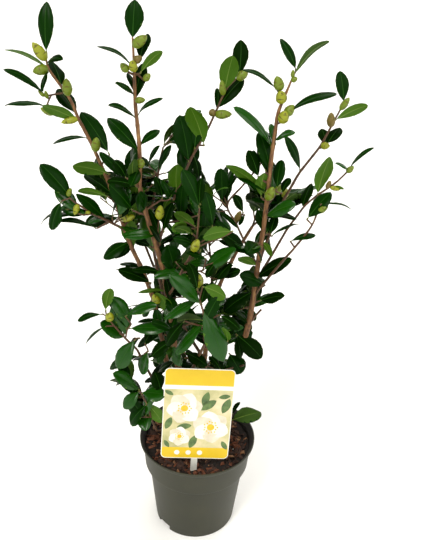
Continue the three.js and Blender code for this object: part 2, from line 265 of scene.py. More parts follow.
# Growth. The room is what each leaf of a mass takes up, in cubic millimetres. The masses left as shown
# have all their leaves in the table further down.
LEAF_ROOM = 4400
ROOM_OF = {
    "left_side_leaves": 9000,
    "right_side_leaves": 9500,
    "right_upper_leaves": 9500,
    "centre_left_upper_leaves": 8000,
    "right_short_leaves": 9500,
    "centre_high_leaves": 5000,
    "centre_right_leaves": 5000,
    "right_inner_leaves": 5000,
    "left_lower_leaves": 4500,
    "low_left_leaves": 5500,
    "right_low_leaves": 16000,
    "centre_upper_leaves": 5000,
    "centre_back_leaves": 7000,
}
LEFT_AS_SHOWN = ("left_tip_leaves", "left_upper_leaves", "centre_left_tip_leaves", "centre_tip_leaves",
                 "right_tip_leaves", "far_right_tip_leaves", "far_right_leaves", "left_rim_leaves",
                 "right_rim_leaves")

# The room that leaves and twigs keep, and the shares of a leaf at which it is looked at
LEAF_STEP = 9 * MM
LEAF_CLEAR = 4 * MM
TWIG_CLEAR = 9 * MM
TWIG_LEAVES = 6
SKY_CLEAR = 6
SHOWN_CLEAR = 2
SHOWN_BEHIND = 2 * MM
SHOWN_SHARES = (0.2, 0.45, 0.7, 0.95)
LEAF_SHARES = (0.4, 0.65, 0.9)

# Stalks of what shows, and how it bends: seen flat, and how much more when seen edge on
OFF_LIMB = 5.5 * MM
LEAF_STALK = 0.9 * MM
BUD_STALK = 1.0 * MM
STALK_TAPER = 1.3
STALK_TO_LIMB = 0.9
FLAT_BEND = 0.35
EDGE_BEND = 0.9

# Forks: what a longer or a backward twig costs, and how it leaves the limb and ends upright
FORK_COST = 2.1
FORK_AHEAD = 1.1
FORK_FORWARD = 0.6
FORK_UPRIGHT = 0.25
HANDLE = 0.33
TWIG_TO_LIMB = 0.85
TWIG_RADIUS = 0.8
TWIG_TAPER = 0.011
SWAY_REACH = 45 * MM
FORK_FROM = (SOIL_LEVEL + 22) * MM
LOW_FORK_COST = 30 * MM

# Filling a mass: how far leaves reach out of it, and the points inside it that twigs grow to
TIP_REACH = 9 * MM
BACK_REACH = 30 * MM
BACK_FROM = 50 * MM
CROWN_BACK = 152 * MM
MASS_FULLNESS = 1.05
MASS_INSET = 4 * MM
INNER_TRIES = 2500
INNER_POINTS = 400

# A dressed twig: its leafy length, the angles at which its leaves open, in degrees, how they rise and
# face, their roll and the turn of a new try, in radians, the heights over which the tones change, the
# share of each tone low down and what the top adds to it, and the bud that may end the twig
LEAFY_SHARE = 0.85
BARE_SHARE = 0.1
END_LEAF = 0.86
LEAF_OPENING = 36
OPENING_STEP = 9
OPENING_MORE = 28
OPENING_SPREAD = 8
SPIRAL_SIDE = np.array([0.9, 0.35, 0.2])
LEAF_RISE = 0.12
FACE_WAY, FACE_UP, FACE_OUT = 0.5, 0.8, 0.05
LEAF_ROLL = 0.45
LEAF_TRIES = 10
TRY_TURN = 0.7
TRY_SHRINK = 0.96
TONES_FROM = 200
TONES_REACH = 300
TONE_SHARES = ((0.14, 0.16), (0.38, 0), (0.40, -0.14), (0.08, 0))
BUD_SHARE = 0.07
BUD_RISE = 0.4
BUD_SIZES = (6, 9)
BUD_SLIMNESS = 1.5

# Shoots between the masses: the heights they start at, how far back a limb counts as hidden, every
# which point of a limb is tried, the room they need, their leaves, and their way and length
SPROUT_FROM = 185 * MM
SPROUT_TO = 455 * MM
SPROUT_BEHIND = 42 * MM
SPROUT_EVERY = 9
SPROUT_GAP = 20 * MM
SPROUT_REACH = 70 * MM
SPROUT_LEAVES = 4
SPROUT_RISE = 0.5
SPROUT_FORWARD = -0.6
SPROUT_BACKWARD = 0.3
SPROUT_SHORT = 20
SPROUT_LONG = 46
SPROUT_LONG_BEHIND = 34

# The label as the camera sees it, its low left and high right readings, and how far back a leaf may
# cross it
LABEL_VIEW = ((-56, 52), (50, 238))
LABEL_BEHIND = -36 * MM

# The room: the height at which the white walls end and the dim ceiling starts, their colours, and the
# lights, each by the side it comes from, the angle that it fills in degrees, and its power
WALL_TOP = 0.3
CEILING_FOOT = 0.6
WALL_COLOUR = (1, 0.985, 0.95, 1)
CEILING = 0.16
CEILING_COLOUR = (CEILING, CEILING, CEILING * 0.94, 1)
WARM_WHITE = (1, 0.97, 0.9)
FLOOR_REACH = 40
LIGHTS = {
    "key_light": ((-0.55, -0.8, 1.15), 22, 1.9),
    "front_light": ((0.1, -1.1, 1.0), 50, 0.8),
    "fill_light": ((0.9, -0.5, 0.8), 40, 0.8),
    "top_light": ((0.15, 0.5, 1.2), 40, 1.7),
}

# The masses that each part of the crown stands for
CROWN_PARTS = {
    "left_crown": ["left_tip", "left_upper", "left_side", "left_inner"],
    "centre_crown": ["centre_left_tip", "centre_left_upper", "centre_tip", "centre_upper", "centre_right",
                     "centre_high"],
    "right_crown": ["right_tip", "right_upper", "far_right_tip", "far_right", "right_side", "right_inner"],
    "low_crown": ["front", "front_low", "low_left", "left_lower", "left_rim", "right_short", "right_low",
                  "right_rim"],
    "back_crown": ["centre_back", "back_right", "back_centre", "back_left", "back_low_left",
                   "back_low_right", "back_low"],
}

# Where the photograph shows sky through or beside the crown: the reading at the middle of each opening,
# and its half width and half height
OPENINGS = [
    (-92, 507, 9, 14), (-49, 543, 13, 14), (6, 510, 12, 22), (24, 517, 16, 18), (36, 466, 7, 7),
    (46, 422, 14, 13), (32, 350, 10, 11), (-24, 394, 6, 6), (12, 405, 6, 7), (-110, 446, 8, 9),
    (-72, 388, 7, 13), (-78, 342, 13, 9), (-113, 266, 11, 11), (80, 236, 19, 22), (92, 264, 14, 24),
    (74, 292, 9, 14), (77, 509, 8, 9), (-146, 412, 14, 14), (-113, 403, 11, 9), (138, 425, 28, 18),
    (116, 402, 12, 10), (84, 434, 6, 6), (92, 412, 12, 10), (105, 442, 5, 9), (116, 370, 20, 30),
    (102, 310, 24, 20), (-144, 470, 7, 13), (-76, 218, 7, 7), (-12, 252, 6, 5), (8, 252, 5, 7),
    (-94, 492, 5, 6), (-66, 540, 7, 11), (-38, 502, 8, 9), (-65, 505, 4, 6), (-55, 518, 5, 4),
    (46, 520, 8, 11), (55, 492, 6, 6), (87, 500, 8, 9), (-132, 470, 6, 7), (-100, 418, 5, 7),
    (28, 444, 5, 10), (10, 457, 3, 5), (52, 430, 7, 13), (33, 384, 6, 6), (-60, 357, 6, 5),
    (138, 400, 26, 12), (102, 522, 9, 14), (-30, 575, 14, 12), (-148, 330, 20, 30), (-95, 350, 12, 8),
    (-128, 240, 18, 24), (72, 200, 16, 18), (-100, 192, 10, 9), (-178, 452, 14, 16), (-92, 500, 8, 8),
    (-86, 534, 9, 14), (-36, 562, 8, 10), (6, 487, 5, 10), (96, 546, 10, 8), (93, 483, 6, 10),
    (-124, 326, 8, 10), (-80, 333, 22, 7), (-68, 309, 8, 4), (-102, 160, 12, 16), (47, 368, 6, 8),
    (90, 352, 10, 5), (-2, 264, 12, 5), (78, 350, 5, 8), (-124, 300, 6, 3), (52, 208, 4, 10),
    (98, 489, 10, 6), (79, 320, 8, 6), (-24, 559, 8, 8), (-134, 288, 8, 6), (-182, 398, 20, 22),
    (-152, 376, 26, 18), (-118, 352, 8, 6),
]

# Where the shoots that show run on from the limbs that carry them: each point's reading, and then its
# true depth behind the plane, in millimetres
LIMB_TIPS = {
    "left_stem": [(-161, 589, 11), (-161.5, 605, 11)],
    "centre_stem": [(-76, 599, -38), (-77, 622, -38)],
    "centre_bough": [(15, 572, 26), (20, 580, 26), (29, 589, 26)],
    "right_stem": [(79, 578, -20), (83, 590, -20)],
    "far_right_bough": [(135, 560, 34), (138, 567, 34)],
    "right_twig_bough": [(139, 481, -14), (148, 491, -14), (152, 496, -14)],
    "right_side_bough": [(118, 428, -47), (124, 447, -47)],
    "centre_right_bough": [(24, 452, 30), (40, 475, 26), (56, 497, 18)],
    "centre_back_bough": [(-50, 498, 70), (-46, 516, 73)],
    "centre_high_bough": [(-10, 402, -50), (-6, 450, -46)],
    "front_bough": [(3, 308, -77), (-3, 332, -72)],
    "low_left_bough": [(-106, 294, -46), (-113, 305, -48)],
    "left_side_bough": [(-144, 449, -21), (-150, 455, -21)],
    "left_rim_bough": [(-60, 152, -36), (-66, 176, -39), (-75, 197, -41)],
}

# Leaves that show plainly, by the limb that carries them. A row holds the readings of the foot and the
# tip, how far the tip lies behind the foot, the blade's width, how squarely its upper face meets the
# camera (1 full on, 0 edge on, below 0 the underside), and its colour.
SHOWN_LEAVES = {
    "left_stem": [
        (-166, 602, -158, 651, 14, 17, 0.85, DARK), (-164, 589, -203, 605, -10, 12, -0.5, GREEN),
        (-162, 591, -146, 598, -26, 11, 0.4, DEEP), (-162, 586, -168, 566, -22, 12, 0.4, DEEP),
        (-146, 571, -157, 596, 24, 18, 0.9, DEEP), (-139, 542, -153, 569, 26, 18, 0.9, DEEP),
        (-166, 562, -206, 586, -14, 12, 0.45, DARK), (-135, 537, -170, 552, -14, 15.5, -0.85, GREEN),
        (-166, 551, -208, 550, -8, 13, 0.5, DARK), (-129, 517, -162, 512, -14, 13, 0.45, DARK),
        (-103, 503, -131, 547, 16, 22, 0.9, DARK), (-103, 482, -143, 489, -18, 18, -0.8, GREEN),
        (-89, 476, -114, 505, -12, 15.5, 0.7, DARK), (-104, 456, -131, 480, 8, 16.5, 0.8, DEEP),
        (-84, 404, -114, 381, -10, 20, 0.8, DARK), (-82, 402, -96, 388, -6, 12, 0.7, DEEP),
        (-31, 244, -61, 215, -6, 16.5, 0.7, DEEP), (-53, 281, -77, 263, -8, 15.5, 0.7, DARK),
        (-53, 322, -51, 289, -12, 18, 0.8, GREEN), (-46, 293, -30, 272, -10, 15, 0.7, DEEP),
    ],
    "left_side_bough": [
        (-143, 452, -177, 490, 6, 21, 0.9, DARK), (-157, 449, -170, 414, -14, 19, 0.7, DARK),
        (-150, 440, -182, 420, 6, 7, 0.4, DEEP), (-120, 418, -163, 425, -10, 10, 0.5, DARK),
        (-109, 432, -141, 458, -4, 18, 0.8, DARK), (-106, 456, -139, 461, 8, 11, -0.6, GREEN),
        (-112, 424, -124, 440, 4, 12, 0.7, DEEP),
    ],
    "centre_stem": [
        (-75, 620, -74, 656, 8, 18.5, 0.97, DARK), (-70, 600, -62, 626, 14, 15, 0.8, DEEP),
        (-79, 593, -112, 612, -14, 10, 0.4, DARK), (-70, 588, -48, 610, -12, 12, -0.7, GREEN),
        (-71, 562, -66, 598, 12, 15, 0.85, DEEP), (-77, 569, -82, 588, 14, 12, 0.7, DEEP),
        (-75, 564, -95, 577, -22, 12, 0.45, DARK), (-72, 545, -47, 564, -12, 10, 0.4, DARK),
        (-76, 542, -103, 555, -16, 10, 0.4, DARK), (-74, 507, -104, 542, 10, 18, 0.9, DARK),
        (-68, 513, -50, 531, 8, 12, 0.6, DARK), (-80, 441, -105, 470, -14, 18, 0.85, DARK),
        (-52, 412, -92, 410, -12, 17.5, 0.7, GREEN), (-33, 367, -41, 400, 2, 25, 0.9, DARK),
        (-60, 352, -98, 367, -8, 18, 0.8, DEEP), (-50, 364, -82, 368, -8, 14, 0.75, DEEP),
        (-52, 302, -76, 298, -4, 10, 0.6, DEEP), (-46, 342, -75, 338, -8, 9, -0.6, GREEN),
        (-73, 437, -68, 463, -6, 16.5, 0.8, DARK), (-33, 333, -44, 295, -10, 16.5, 0.5, GREEN),
        (-16, 369, -57, 359, -10, 15, 0.7, GREEN), (-24, 385, -34, 373, -10, 11, 0.6, DEEP),
        (-47, 456, -55, 481, 10, 12, 0.7, DEEP), (-43, 454, -33, 470, 8, 10, 0.6, DEEP),
        (-46, 416, -36, 452, 10, 14, 0.7, DEEP), (-52, 414, -62, 443, 8, 14, 0.7, DEEP),
        (-20, 378, 10, 378, -6, 15, 0.7, GREEN), (-38, 456, -49, 478, 8, 13, 0.7, DARK),
        (-86, 478, -99, 497, 6, 14, 0.7, DEEP), (-60, 398, -78, 404, 8, 12, 0.6, DEEP),
        (-64, 440, -72, 463, -12, 13, 0.7, DARK), (-49, 402, -62, 423, -12, 12, 0.7, DEEP),
        (-50, 362, -38, 332, -8, 13, 0.7, DEEP), (-52, 226, -34, 242, -8, 13, 0.7, DEEP),
        (-44, 282, -38, 300, 12, 14, 0.7, DEEP), (-40, 304, -53, 340, -14, 20, -0.7, GREEN),
        (-58, 326, -70, 306, -4, 15, 0.7, DARK), (-46, 338, -34, 312, -16, 16.5, 0.75, DARK),
        (-29, 311, -37, 275, -10, 17.5, 0.75, DARK),
    ],
    "centre_back_bough": [
        (-46, 515, -34, 539, -4, 13, -0.6, DARK), (-51, 486, -38, 516, 6, 13, 0.5, DARK),
        (-62, 492, -50, 515, -8, 9, 0.4, DEEP),
    ],
    "centre_bough": [
        (30, 592, 29, 624, 14, 18, 0.9, DEEP), (18, 572, 22, 609, -16, 20, -0.95, FRESH),
        (13, 553, 34, 588, 14, 18, 0.85, DEEP), (11, 555, 8, 577, 12, 9, 0.8, DEEP),
        (-3, 517, -19, 557, -14, 23.5, -0.9, FRESH), (-16, 494, -30, 548, 10, 25, 0.9, DARK),
        (-10, 506, -9, 478, 14, 14, 0.7, DEEP), (-31, 465, -32, 495, -12, 20, -0.9, FRESH),
        (-26, 432, -25, 472, 6, 18, 0.8, DARK), (-10, 424, -34, 440, -8, 15, -0.7, GREEN),
        (-22, 468, -12, 486, 8, 12, 0.7, DEEP), (-8, 438, -18, 472, -4, 12, 0.8, GREEN),
    ],
    "centre_high_bough": [
        (-4, 446, -26, 490, 8, 18, 0.8, DARK), (-12, 402, -35, 409, -4, 12, 0.7, DARK),
        (-4, 454, -5, 482, 6, 12, 0.8, DEEP), (-1, 370, 36, 400, -6, 20, 0.9, GREEN),
        (32, 421, -2, 412, -14, 18, -0.7, GREEN), (9, 424, -1, 466, 8, 15.5, 0.85, DARK),
        (12, 360, 34, 378, -8, 15.5, 0.7, DEEP), (22, 362, 43, 372, -6, 14, 0.75, DEEP),
        (3, 385, -20, 392, -6, 12, 0.7, DARK), (-32, 380, -13, 367, -6, 11, 0.6, DEEP),
        (15, 382, 4, 361, -6, 11, 0.7, DEEP), (34, 382, 17, 359, -6, 15.5, 0.7, DEEP),
        (-6, 336, -38, 366, 6, 22, 0.9, GREEN),
    ],
    "centre_right_bough": [
        (18, 455, 15, 493, 10, 19, 0.95, DARK), (8, 462, 24, 471, -12, 6, 0.3, FRESH),
        (42, 443, 30, 464, 6, 15, 0.7, DEEP), (44, 441, 38, 428, -6, 9, 0.7, DEEP),
        (36, 422, 16, 443, -6, 10, 0.7, DEEP), (46, 490, 49, 514, 14, 13, 0.85, DARK),
    ],
    "right_stem": [
        (86, 597, 68, 627, 12, 15, 0.75, DARK), (85, 593, 116, 627, -10, 12, -0.42, DARK),
        (68, 578, 32, 596, -10, 11, 0.45, DARK), (80, 554, 130, 576, -8, 14, 0.5, DARK),
        (68, 517, 25, 558, -12, 15, 0.5, GREEN), (64, 492, 53, 534, 12, 18, 0.85, DARK),
        (69, 521, 65, 543, 12, 11, 0.7, GREEN), (69, 524, 91, 535, -10, 14, 0.5, GREEN),
        (77, 472, 79, 505, 10, 15, 0.9, DARK), (83, 467, 90, 485, 8, 12, 0.6, DEEP),
        (62, 464, 20, 496, -10, 16.5, -0.6, GREEN), (60, 462, 62, 490, -6, 15, -0.8, GREEN),
        (66, 438, 99, 456, -14, 17.5, 0.8, GREEN), (72, 441, 102, 438, -6, 15, 0.6, DEEP),
        (71, 419, 57, 447, 6, 16.5, 0.8, DEEP), (74, 418, 79, 441, 8, 12, 0.8, DEEP),
        (65, 410, 78, 392, -12, 12, -0.7, GREEN), (75, 416, 105, 432, 10, 9, 0.45, DARK),
        (58, 379, 39, 388, -8, 15, -0.6, GREEN), (73, 354, 42, 366, -10, 19, 0.8, DARK),
        (63, 362, 101, 389, -8, 22, 0.8, DEEP), (56, 347, 26, 316, -10, 21, 0.8, DEEP),
        (68, 333, 97, 341, -8, 17.5, 0.85, DEEP), (55, 300, 38, 318, -8, 13, 0.6, DEEP),
        (42, 286, 76, 252, -17, 24.5, 0.85, DEEP), (43, 284, 50, 250, -13, 16.5, 0.8, DEEP),
        (35, 258, 52, 228, -16, 25, 0.95, DARK), (56, 484, 43, 514, 8, 18, 0.8, DEEP),
    ],
    "far_right_bough": [
        (139, 566, 130, 599, 10, 15.5, 0.9, DARK), (132, 550, 163, 566, -12, 13, -0.8, GREEN),
        (126, 521, 118, 540, 12, 15.5, 0.85, DEEP), (126, 524, 137, 542, 14, 16.5, 0.85, DEEP),
        (101, 494, 80, 531, -8, 14, 0.7, DARK),
    ],
    "right_twig_bough": [
        (118, 467, 130, 510, -8, 20, -0.9, FRESH), (154, 499, 176, 522, -8, 8, 0.42, DARK),
        (150, 500, 137, 503, -10, 10, 0.4, GREEN), (136, 476, 150, 475, -8, 5, -0.6, FRESH),
        (105, 452, 114, 480, 10, 18, 0.75, DEEP),
    ],
    "right_side_bough": [
        (113, 438, 136, 471, 8, 19, 0.9, DARK), (127, 457, 161, 452, -8, 7, 0.4, DARK),
        (97, 411, 125, 419, -8, 13, 0.5, DARK),
    ],
    "front_bough": [
        (-3, 318, 29, 245, -14, 25, 0.9, GREEN), (3, 326, -38, 362, -8, 20, 0.85, GREEN),
        (-4, 334, -44, 303, -14, 16.5, 0.8, GREEN), (2, 298, -30, 254, -10, 18, 0.8, GREEN),
        (0, 350, 28, 336, -12, 19, -0.75, GREEN), (-21, 258, 9, 238, -10, 16.5, 0.75, DEEP),
        (-19, 249, 4, 238, -4, 13, 0.6, DEEP), (-20, 302, -42, 266, -6, 17.5, 0.75, DEEP),
        (-40, 268, -53, 241, -6, 15, 0.7, DARK), (-34, 288, -60, 298, -6, 15, 0.7, DARK),
        (2, 291, -30, 275, 8, 15, 0.7, DARK), (-14, 284, 8, 271, 10, 13, 0.7, DEEP),
        (6, 304, -29, 301, 6, 17.5, -0.6, DEEP), (-31, 276, -60, 249, -8, 16.5, 0.75, DEEP),
        (-35, 267, -23, 237, -6, 16.5, 0.85, GREEN), (32, 269, 42, 281, 8, 11, 0.6, GREEN),
        (26, 233, 11, 253, 14, 12, 0.7, DEEP), (-2, 326, 6, 354, 10, 15.5, 0.7, DEEP),
        (-6, 344, -17, 379, 10, 15, 0.7, DEEP), (-6, 244, -18, 262, 12, 12, 0.6, DEEP),
        (21, 312, 46, 292, -8, 15, 0.7, DEEP),
    ],
    "low_left_bough": [
        (-114, 312, -107, 343, 6, 15.5, -0.7, GREEN), (-84, 295, -106, 332, 10, 19, 0.85, GREEN),
        (-118, 308, -148, 297, -8, 11, 0.5, DARK), (-87, 276, -121, 296, -6, 23, 0.85, GREEN),
        (-114, 291, -140, 264, -8, 9, 0.45, DARK), (-91, 306, -53, 322, -6, 15.5, 0.65, GREEN),
        (-87, 289, -43, 289, -10, 17.5, 0.8, GREEN), (-79, 275, -102, 229, -12, 21, 0.85, GREEN),
        (-76, 248, -112, 229, 6, 15, 0.65, DARK), (-64, 258, -72, 222, -8, 17.5, 0.8, GREEN),
        (-74, 276, -88, 260, 6, 14, 0.7, DEEP), (-68, 268, -60, 284, 6, 13, 0.7, DEEP),
    ],
    "left_rim_bough": [
        (-74, 199, -108, 223, -8, 19, 0.85, GREEN), (-74, 196, -96, 168, -6, 17.5, 0.8, GREEN),
        (-64, 176, -88, 144, -6, 17.5, 0.8, DARK), (-74, 195, -42, 192, -6, 23, 0.85, GREEN),
        (-68, 178, -46, 147, -4, 23, -0.8, GREEN), (-48, 194, -56, 226, 6, 19, 0.8, DEEP),
    ],
    "right_rim_bough": [
        (43, 154, 81, 169, -16, 26, -0.9, DARK), (44, 164, 53, 184, 8, 9, 0.6, DEEP),
    ],
}

# Buds that show, by limb: the readings of foot and tip, the tip's depth behind the foot, width, colour
SHOWN_BUDS = {
    "left_stem": [
        (-163, 596, -175, 613, -2, 11.5, BUD_YELLOW), (-163, 590, -177, 585, -3, 11.5, BUD_GREEN),
        (-144, 563, -144, 580, -3, 11, BUD_GREEN), (-158, 544, -172, 549, -3, 9, BUD_GREEN),
        (-138, 537, -152, 535, -3, 8, BUD_YELLOW), (-116, 508, -116, 521, -4, 10.5, BUD_GREEN),
        (-167, 561, -173, 567, -2, 4.5, BUD_GREEN), (-164, 559, -166, 567, -2, 4.5, BUD_GREEN),
        (-98, 466, -98, 476, -4, 9, BUD_YELLOW), (-92, 430, -78, 434, -17, 10.5, BUD_YELLOW),
    ],
    "centre_stem": [
        (-72, 612, -63, 624, -3, 10.5, BUD_GREEN), (-76, 600, -68, 604, -2, 8, BUD_BROWN),
        (-82, 589, -89, 597, -2, 8.5, BUD_GREEN), (-77, 588, -78, 600, -6, 9, BUD_YELLOW),
        (-66, 581, -60, 588, -2, 7, BUD_GREEN), (-72, 560, -65, 562, -3, 7, BUD_GREEN),
        (-71, 491, -71, 499, -6, 10.5, BUD_GREEN), (-51, 432, -49, 448, -5, 10, BUD_YELLOW),
        (-52, 326, -57, 336, -8, 10.5, BUD_YELLOW),
    ],
    "centre_bough": [
        (28, 586, 38, 594, -2, 10.5, BUD_GREEN), (14, 570, 12, 585, -4, 8, BUD_GREEN),
        (8, 553, 0, 551, -3, 9, BUD_BROWN), (10, 549, 24, 551, -3, 10.5, BUD_GREEN),
    ],
    "right_stem": [
        (83, 590, 83, 598, -2, 4.5, BUD_GREEN), (84, 586, 88, 590, -3, 6, BUD_GREEN),
        (72, 577, 67, 591, -3, 11, BUD_GREEN), (75, 565, 72, 576, -8, 12, BUD_YELLOW),
        (79, 552, 87, 563, -2, 10.5, BUD_GREEN), (76, 545, 79, 556, -8, 12, BUD_YELLOW),
        (70, 461, 73, 474, -7, 11.5, BUD_GREEN),
    ],
    "far_right_bough": [
        (137, 562, 143, 573, -3, 8, BUD_GREEN), (129, 540, 126, 557, -4, 10, BUD_BROWN),
        (117, 521, 129, 522, -2, 9, BUD_YELLOW),
    ],
    "right_twig_bough": [
        (150, 493, 157, 501, -2, 7, BUD_GREEN), (131, 477, 134, 484, -3, 6, BUD_BROWN),
        (137, 476, 146, 474, -3, 6, BUD_YELLOW),
    ],
    "right_side_bough": [
        (126, 449, 135, 455, -3, 7.5, BUD_GREEN),
    ],
    "left_side_bough": [
        (-141, 443, -144, 433, -5, 7, BUD_YELLOW), (-127, 440, -130, 433, -4, 6, BUD_YELLOW),
        (-150, 456, -146, 464, -4, 6, BUD_GREEN),
    ],
    "centre_high_bough": [
        (-8, 394, -7, 408, -17, 10, BUD_YELLOW), (-5, 350, -5, 364, -22, 12, BUD_YELLOW),
    ],
    "centre_right_bough": [
        (39, 434, 39, 445, -3, 8, BUD_BROWN),
    ],
    "low_left_bough": [
        (-114, 299, -109, 309, -5, 10.5, BUD_YELLOW),
    ],
}


def unit(vector):
    """A vector of length one."""
    return vector / max(np.linalg.norm(vector), TINY)


def square_to(vector, axis):
    """The part of a vector square to a unit axis, at length one."""
    return unit(vector - axis * np.dot(vector, axis))


def placed(x, z, depth):
    """The point at that depth that the camera sees at the reading (x, z)."""
    stretch = 1 + depth / CAMERA_BACK
    return np.array([x * stretch, depth, CAMERA_HEIGHT - (CAMERA_HEIGHT - z) * stretch]) * MM


def read_off(points):
    """The reading of each point: where the camera sees it, across and up."""
    stretch = 1 + points[:, 1] / MM / CAMERA_BACK
    across = points[:, 0] / MM / stretch
    up = CAMERA_HEIGHT - (CAMERA_HEIGHT - points[:, 2] / MM) / stretch
    return np.stack([across, up], 1)


def ring_angles(sides):
    """The angles of points evenly round a ring."""
    return [2 * math.pi * i / sides for i in range(sides)]


def smooth_line(points, step):
    """Points a step apart along a smooth curve through the given ones."""
    points = np.asarray(points, float)
    padded = np.vstack([2 * points[0] - points[1], points, 2 * points[-1] - points[-2]])
    out = []
    for i in range(1, len(padded) - 2):
        a, b, c, d = padded[i - 1:i + 3]
        count = max(2, int(np.linalg.norm(c - b) / step))
        t = np.linspace(0, 1, count, endpoint=False)[:, None]
        curve = 2 * b + (c - a) * t + (2 * a - 5 * b + 4 * c - d) * t**2 + (3 * b - a - 3 * c + d) * t**3
        out.append(curve / 2)
    return np.vstack(out + [points[-1:]])


def grid_faces(rows, columns, flip=False, closed=False, start=0):
    """The quads of a grid of points, row by row; a closed one joins its last column to its first."""
    quads = []
    for i in range(rows - 1):
        for j in range(columns if closed else columns - 1):
            k = (j + 1) % columns
            quad = (i * columns + j, i * columns + k, (i + 1) * columns + k, (i + 1) * columns + j)
            quads.append(tuple(start + n for n in (quad[::-1] if flip else quad)))
    return quads


def end_caps(rows, columns):
    """The two faces that close a rolled-up grid at its first and its last row."""
    return [tuple(range(columns))[::-1], tuple((rows - 1) * columns + j for j in range(columns))]


def in_scene(name, data):
    """A new object of that data, put in the scene."""
    thing = bpy.data.objects.new(name, data)
    bpy.context.scene.collection.objects.link(thing)
    return thing


def finished(piece, nodes):
    """A piece, once it rides on the body and stands in for its nodes."""
    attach(piece, BODY)
    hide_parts(*nodes)
    return piece


def mesh_of(shape, name, materials):
    """The mesh of a bmesh, which is let go."""
    mesh = bpy.data.meshes.new(name)
    shape.to_mesh(mesh)
    shape.free()
    for material in materials:
        mesh.materials.append(material)
    return mesh


class Gather:
    """Many small shapes, gathered into the points, faces and material numbers of one piece."""

    def __init__(self):
        self.points = []
        self.faces = []
        self.slots = []
        self.count = 0

    def add(self, points, faces, slots):
        """Take in one more shape; its slots are a number for each face, or one for all of them."""
        offset = self.count
        self.points.append(np.asarray(points, float))
        self.faces.extend([tuple(i + offset for i in face) for face in faces])
        self.slots.extend(slots if isinstance(slots, list) else [slots] * len(faces))
        self.count += len(points)

    def piece(self, name, materials, finish, nodes):
        """The finished piece of all the shapes."""
        mesh = bpy.data.meshes.new(name)
        mesh.from_pydata(np.vstack(self.points).tolist(), [], self.faces)
        for material in materials:
            mesh.materials.append(material)
        mesh.polygons.foreach_set("material_index", self.slots)
        mesh.polygons.foreach_set("use_smooth", [True] * len(mesh.polygons))
        mesh.update()
        return finished(in_scene(name, mesh), nodes)


# Materials


def linear(red, green, blue):
    """A colour as seen on a screen, 0 to 255, as the shader takes it."""
    def channel(value):
        value /= 255
        return value / 12.92 if value <= 0.04045 else ((value + 0.055) / 1.055) ** 2.4
    return (channel(red), channel(green), channel(blue), 1)


def new_material(name, roughness):
    """A material of that roughness, and its shader."""
    material = bpy.data.materials.new(name)
    material.use_nodes = True
    shader = material.node_tree.nodes["Principled BSDF"]
    shader.inputs["Roughness"].default_value = roughness
    return material, shader


def plain_material(name, colour, roughness, coat=0, specular=0.5):
    """One colour all over, for the small faces of leaves and buds."""
    material, shader = new_material(name, roughness)
    shader.inputs["Base Color"].default_value = linear(*colour)
    shader.inputs["Coat Weight"].default_value = coat
    shader.inputs["Coat Roughness"].default_value = COAT_ROUGHNESS
    shader.inputs["Specular IOR Level"].default_value = specular
    material.diffuse_color = linear(*colour)
    return material


def patterned_material(name, colours, scale, roughness, bump, stretch=(1, 1, 1), grain=None):
    """A noise of several colours over the object's own coordinates, with its roughness and relief."""
    material, shader = new_material(name, roughness[0])
    tree = material.node_tree
    place = tree.nodes.new("ShaderNodeTexCoord")
    mapping = tree.nodes.new("ShaderNodeMapping")
    mapping.inputs["Scale"].default_value = stretch
    tree.links.new(place.outputs["Object"], mapping.inputs["Vector"])

    pattern = tree.nodes.new("ShaderNodeTexNoise")
    pattern.inputs["Scale"].default_value = scale
    pattern.inputs["Detail"].default_value = PATTERN_DETAIL
    pattern.inputs["Roughness"].default_value = PATTERN_ROUGHNESS
    tree.links.new(mapping.outputs["Vector"], pattern.inputs["Vector"])

    ramp = tree.nodes.new("ShaderNodeValToRGB")
    while len(ramp.color_ramp.elements) < len(colours):
        ramp.color_ramp.elements.new(0.5)
    for i, colour in enumerate(colours):
        element = ramp.color_ramp.elements[i]
        element.position = RAMP_START + RAMP_REACH * i / (len(colours) - 1)
        element.color = linear(*colour)
    tree.links.new(pattern.outputs["Fac"], ramp.inputs["Fac"])
    tree.links.new(ramp.outputs["Color"], shader.inputs["Base Color"])

    shine = tree.nodes.new("ShaderNodeMapRange")
    shine.inputs["To Min"].default_value = roughness[0]
    shine.inputs["To Max"].default_value = roughness[1]
    tree.links.new(pattern.outputs["Fac"], shine.inputs["Value"])
    tree.links.new(shine.outputs["Result"], shader.inputs["Roughness"])

    fine = tree.nodes.new("ShaderNodeTexNoise")
    fine.inputs["Scale"].default_value = grain or scale * FINER_GRAIN
    fine.inputs["Detail"].default_value = GRAIN_DETAIL
    tree.links.new(mapping.outputs["Vector"], fine.inputs["Vector"])
    relief = tree.nodes.new("ShaderNodeBump")
    relief.inputs["Strength"].default_value = bump
    relief.inputs["Distance"].default_value = BUMP_DISTANCE
    tree.links.new(fine.outputs["Fac"], relief.inputs["Height"])
    tree.links.new(relief.outputs["Normal"], shader.inputs["Normal"])
    return material


# In the order of the tones, then the same for the undersides, then ribs and stalk
LEAF_MATERIALS = [
    plain_material("leaf_upper_deep", (6, 28, 0), 0.36, specular=0.02),
    plain_material("leaf_upper_dark", (7, 39, 0), 0.3, specular=0.05),
    plain_material("leaf_upper_green", (17, 64, 1), 0.25, specular=0.3),
    plain_material("leaf_upper_fresh", (42, 84, 5), 0.36, coat=0.06, specular=0.3),
    plain_material("leaf_under_deep", (36, 56, 10), 0.6, specular=0.2),
    plain_material("leaf_under_dark", (44, 72, 10), 0.6, specular=0.2),
    plain_material("leaf_under_green", (60, 96, 8), 0.58, specular=0.2),
    plain_material("leaf_under_fresh", (56, 92, 3), 0.5, specular=0.15),
    plain_material("leaf_rib_dark", (30, 70, 10), 0.45, specular=0.1),
    plain_material("leaf_rib_pale", (96, 122, 44), 0.5, specular=0.25),
    plain_material("leaf_stalk", (104, 112, 44), 0.5),
]
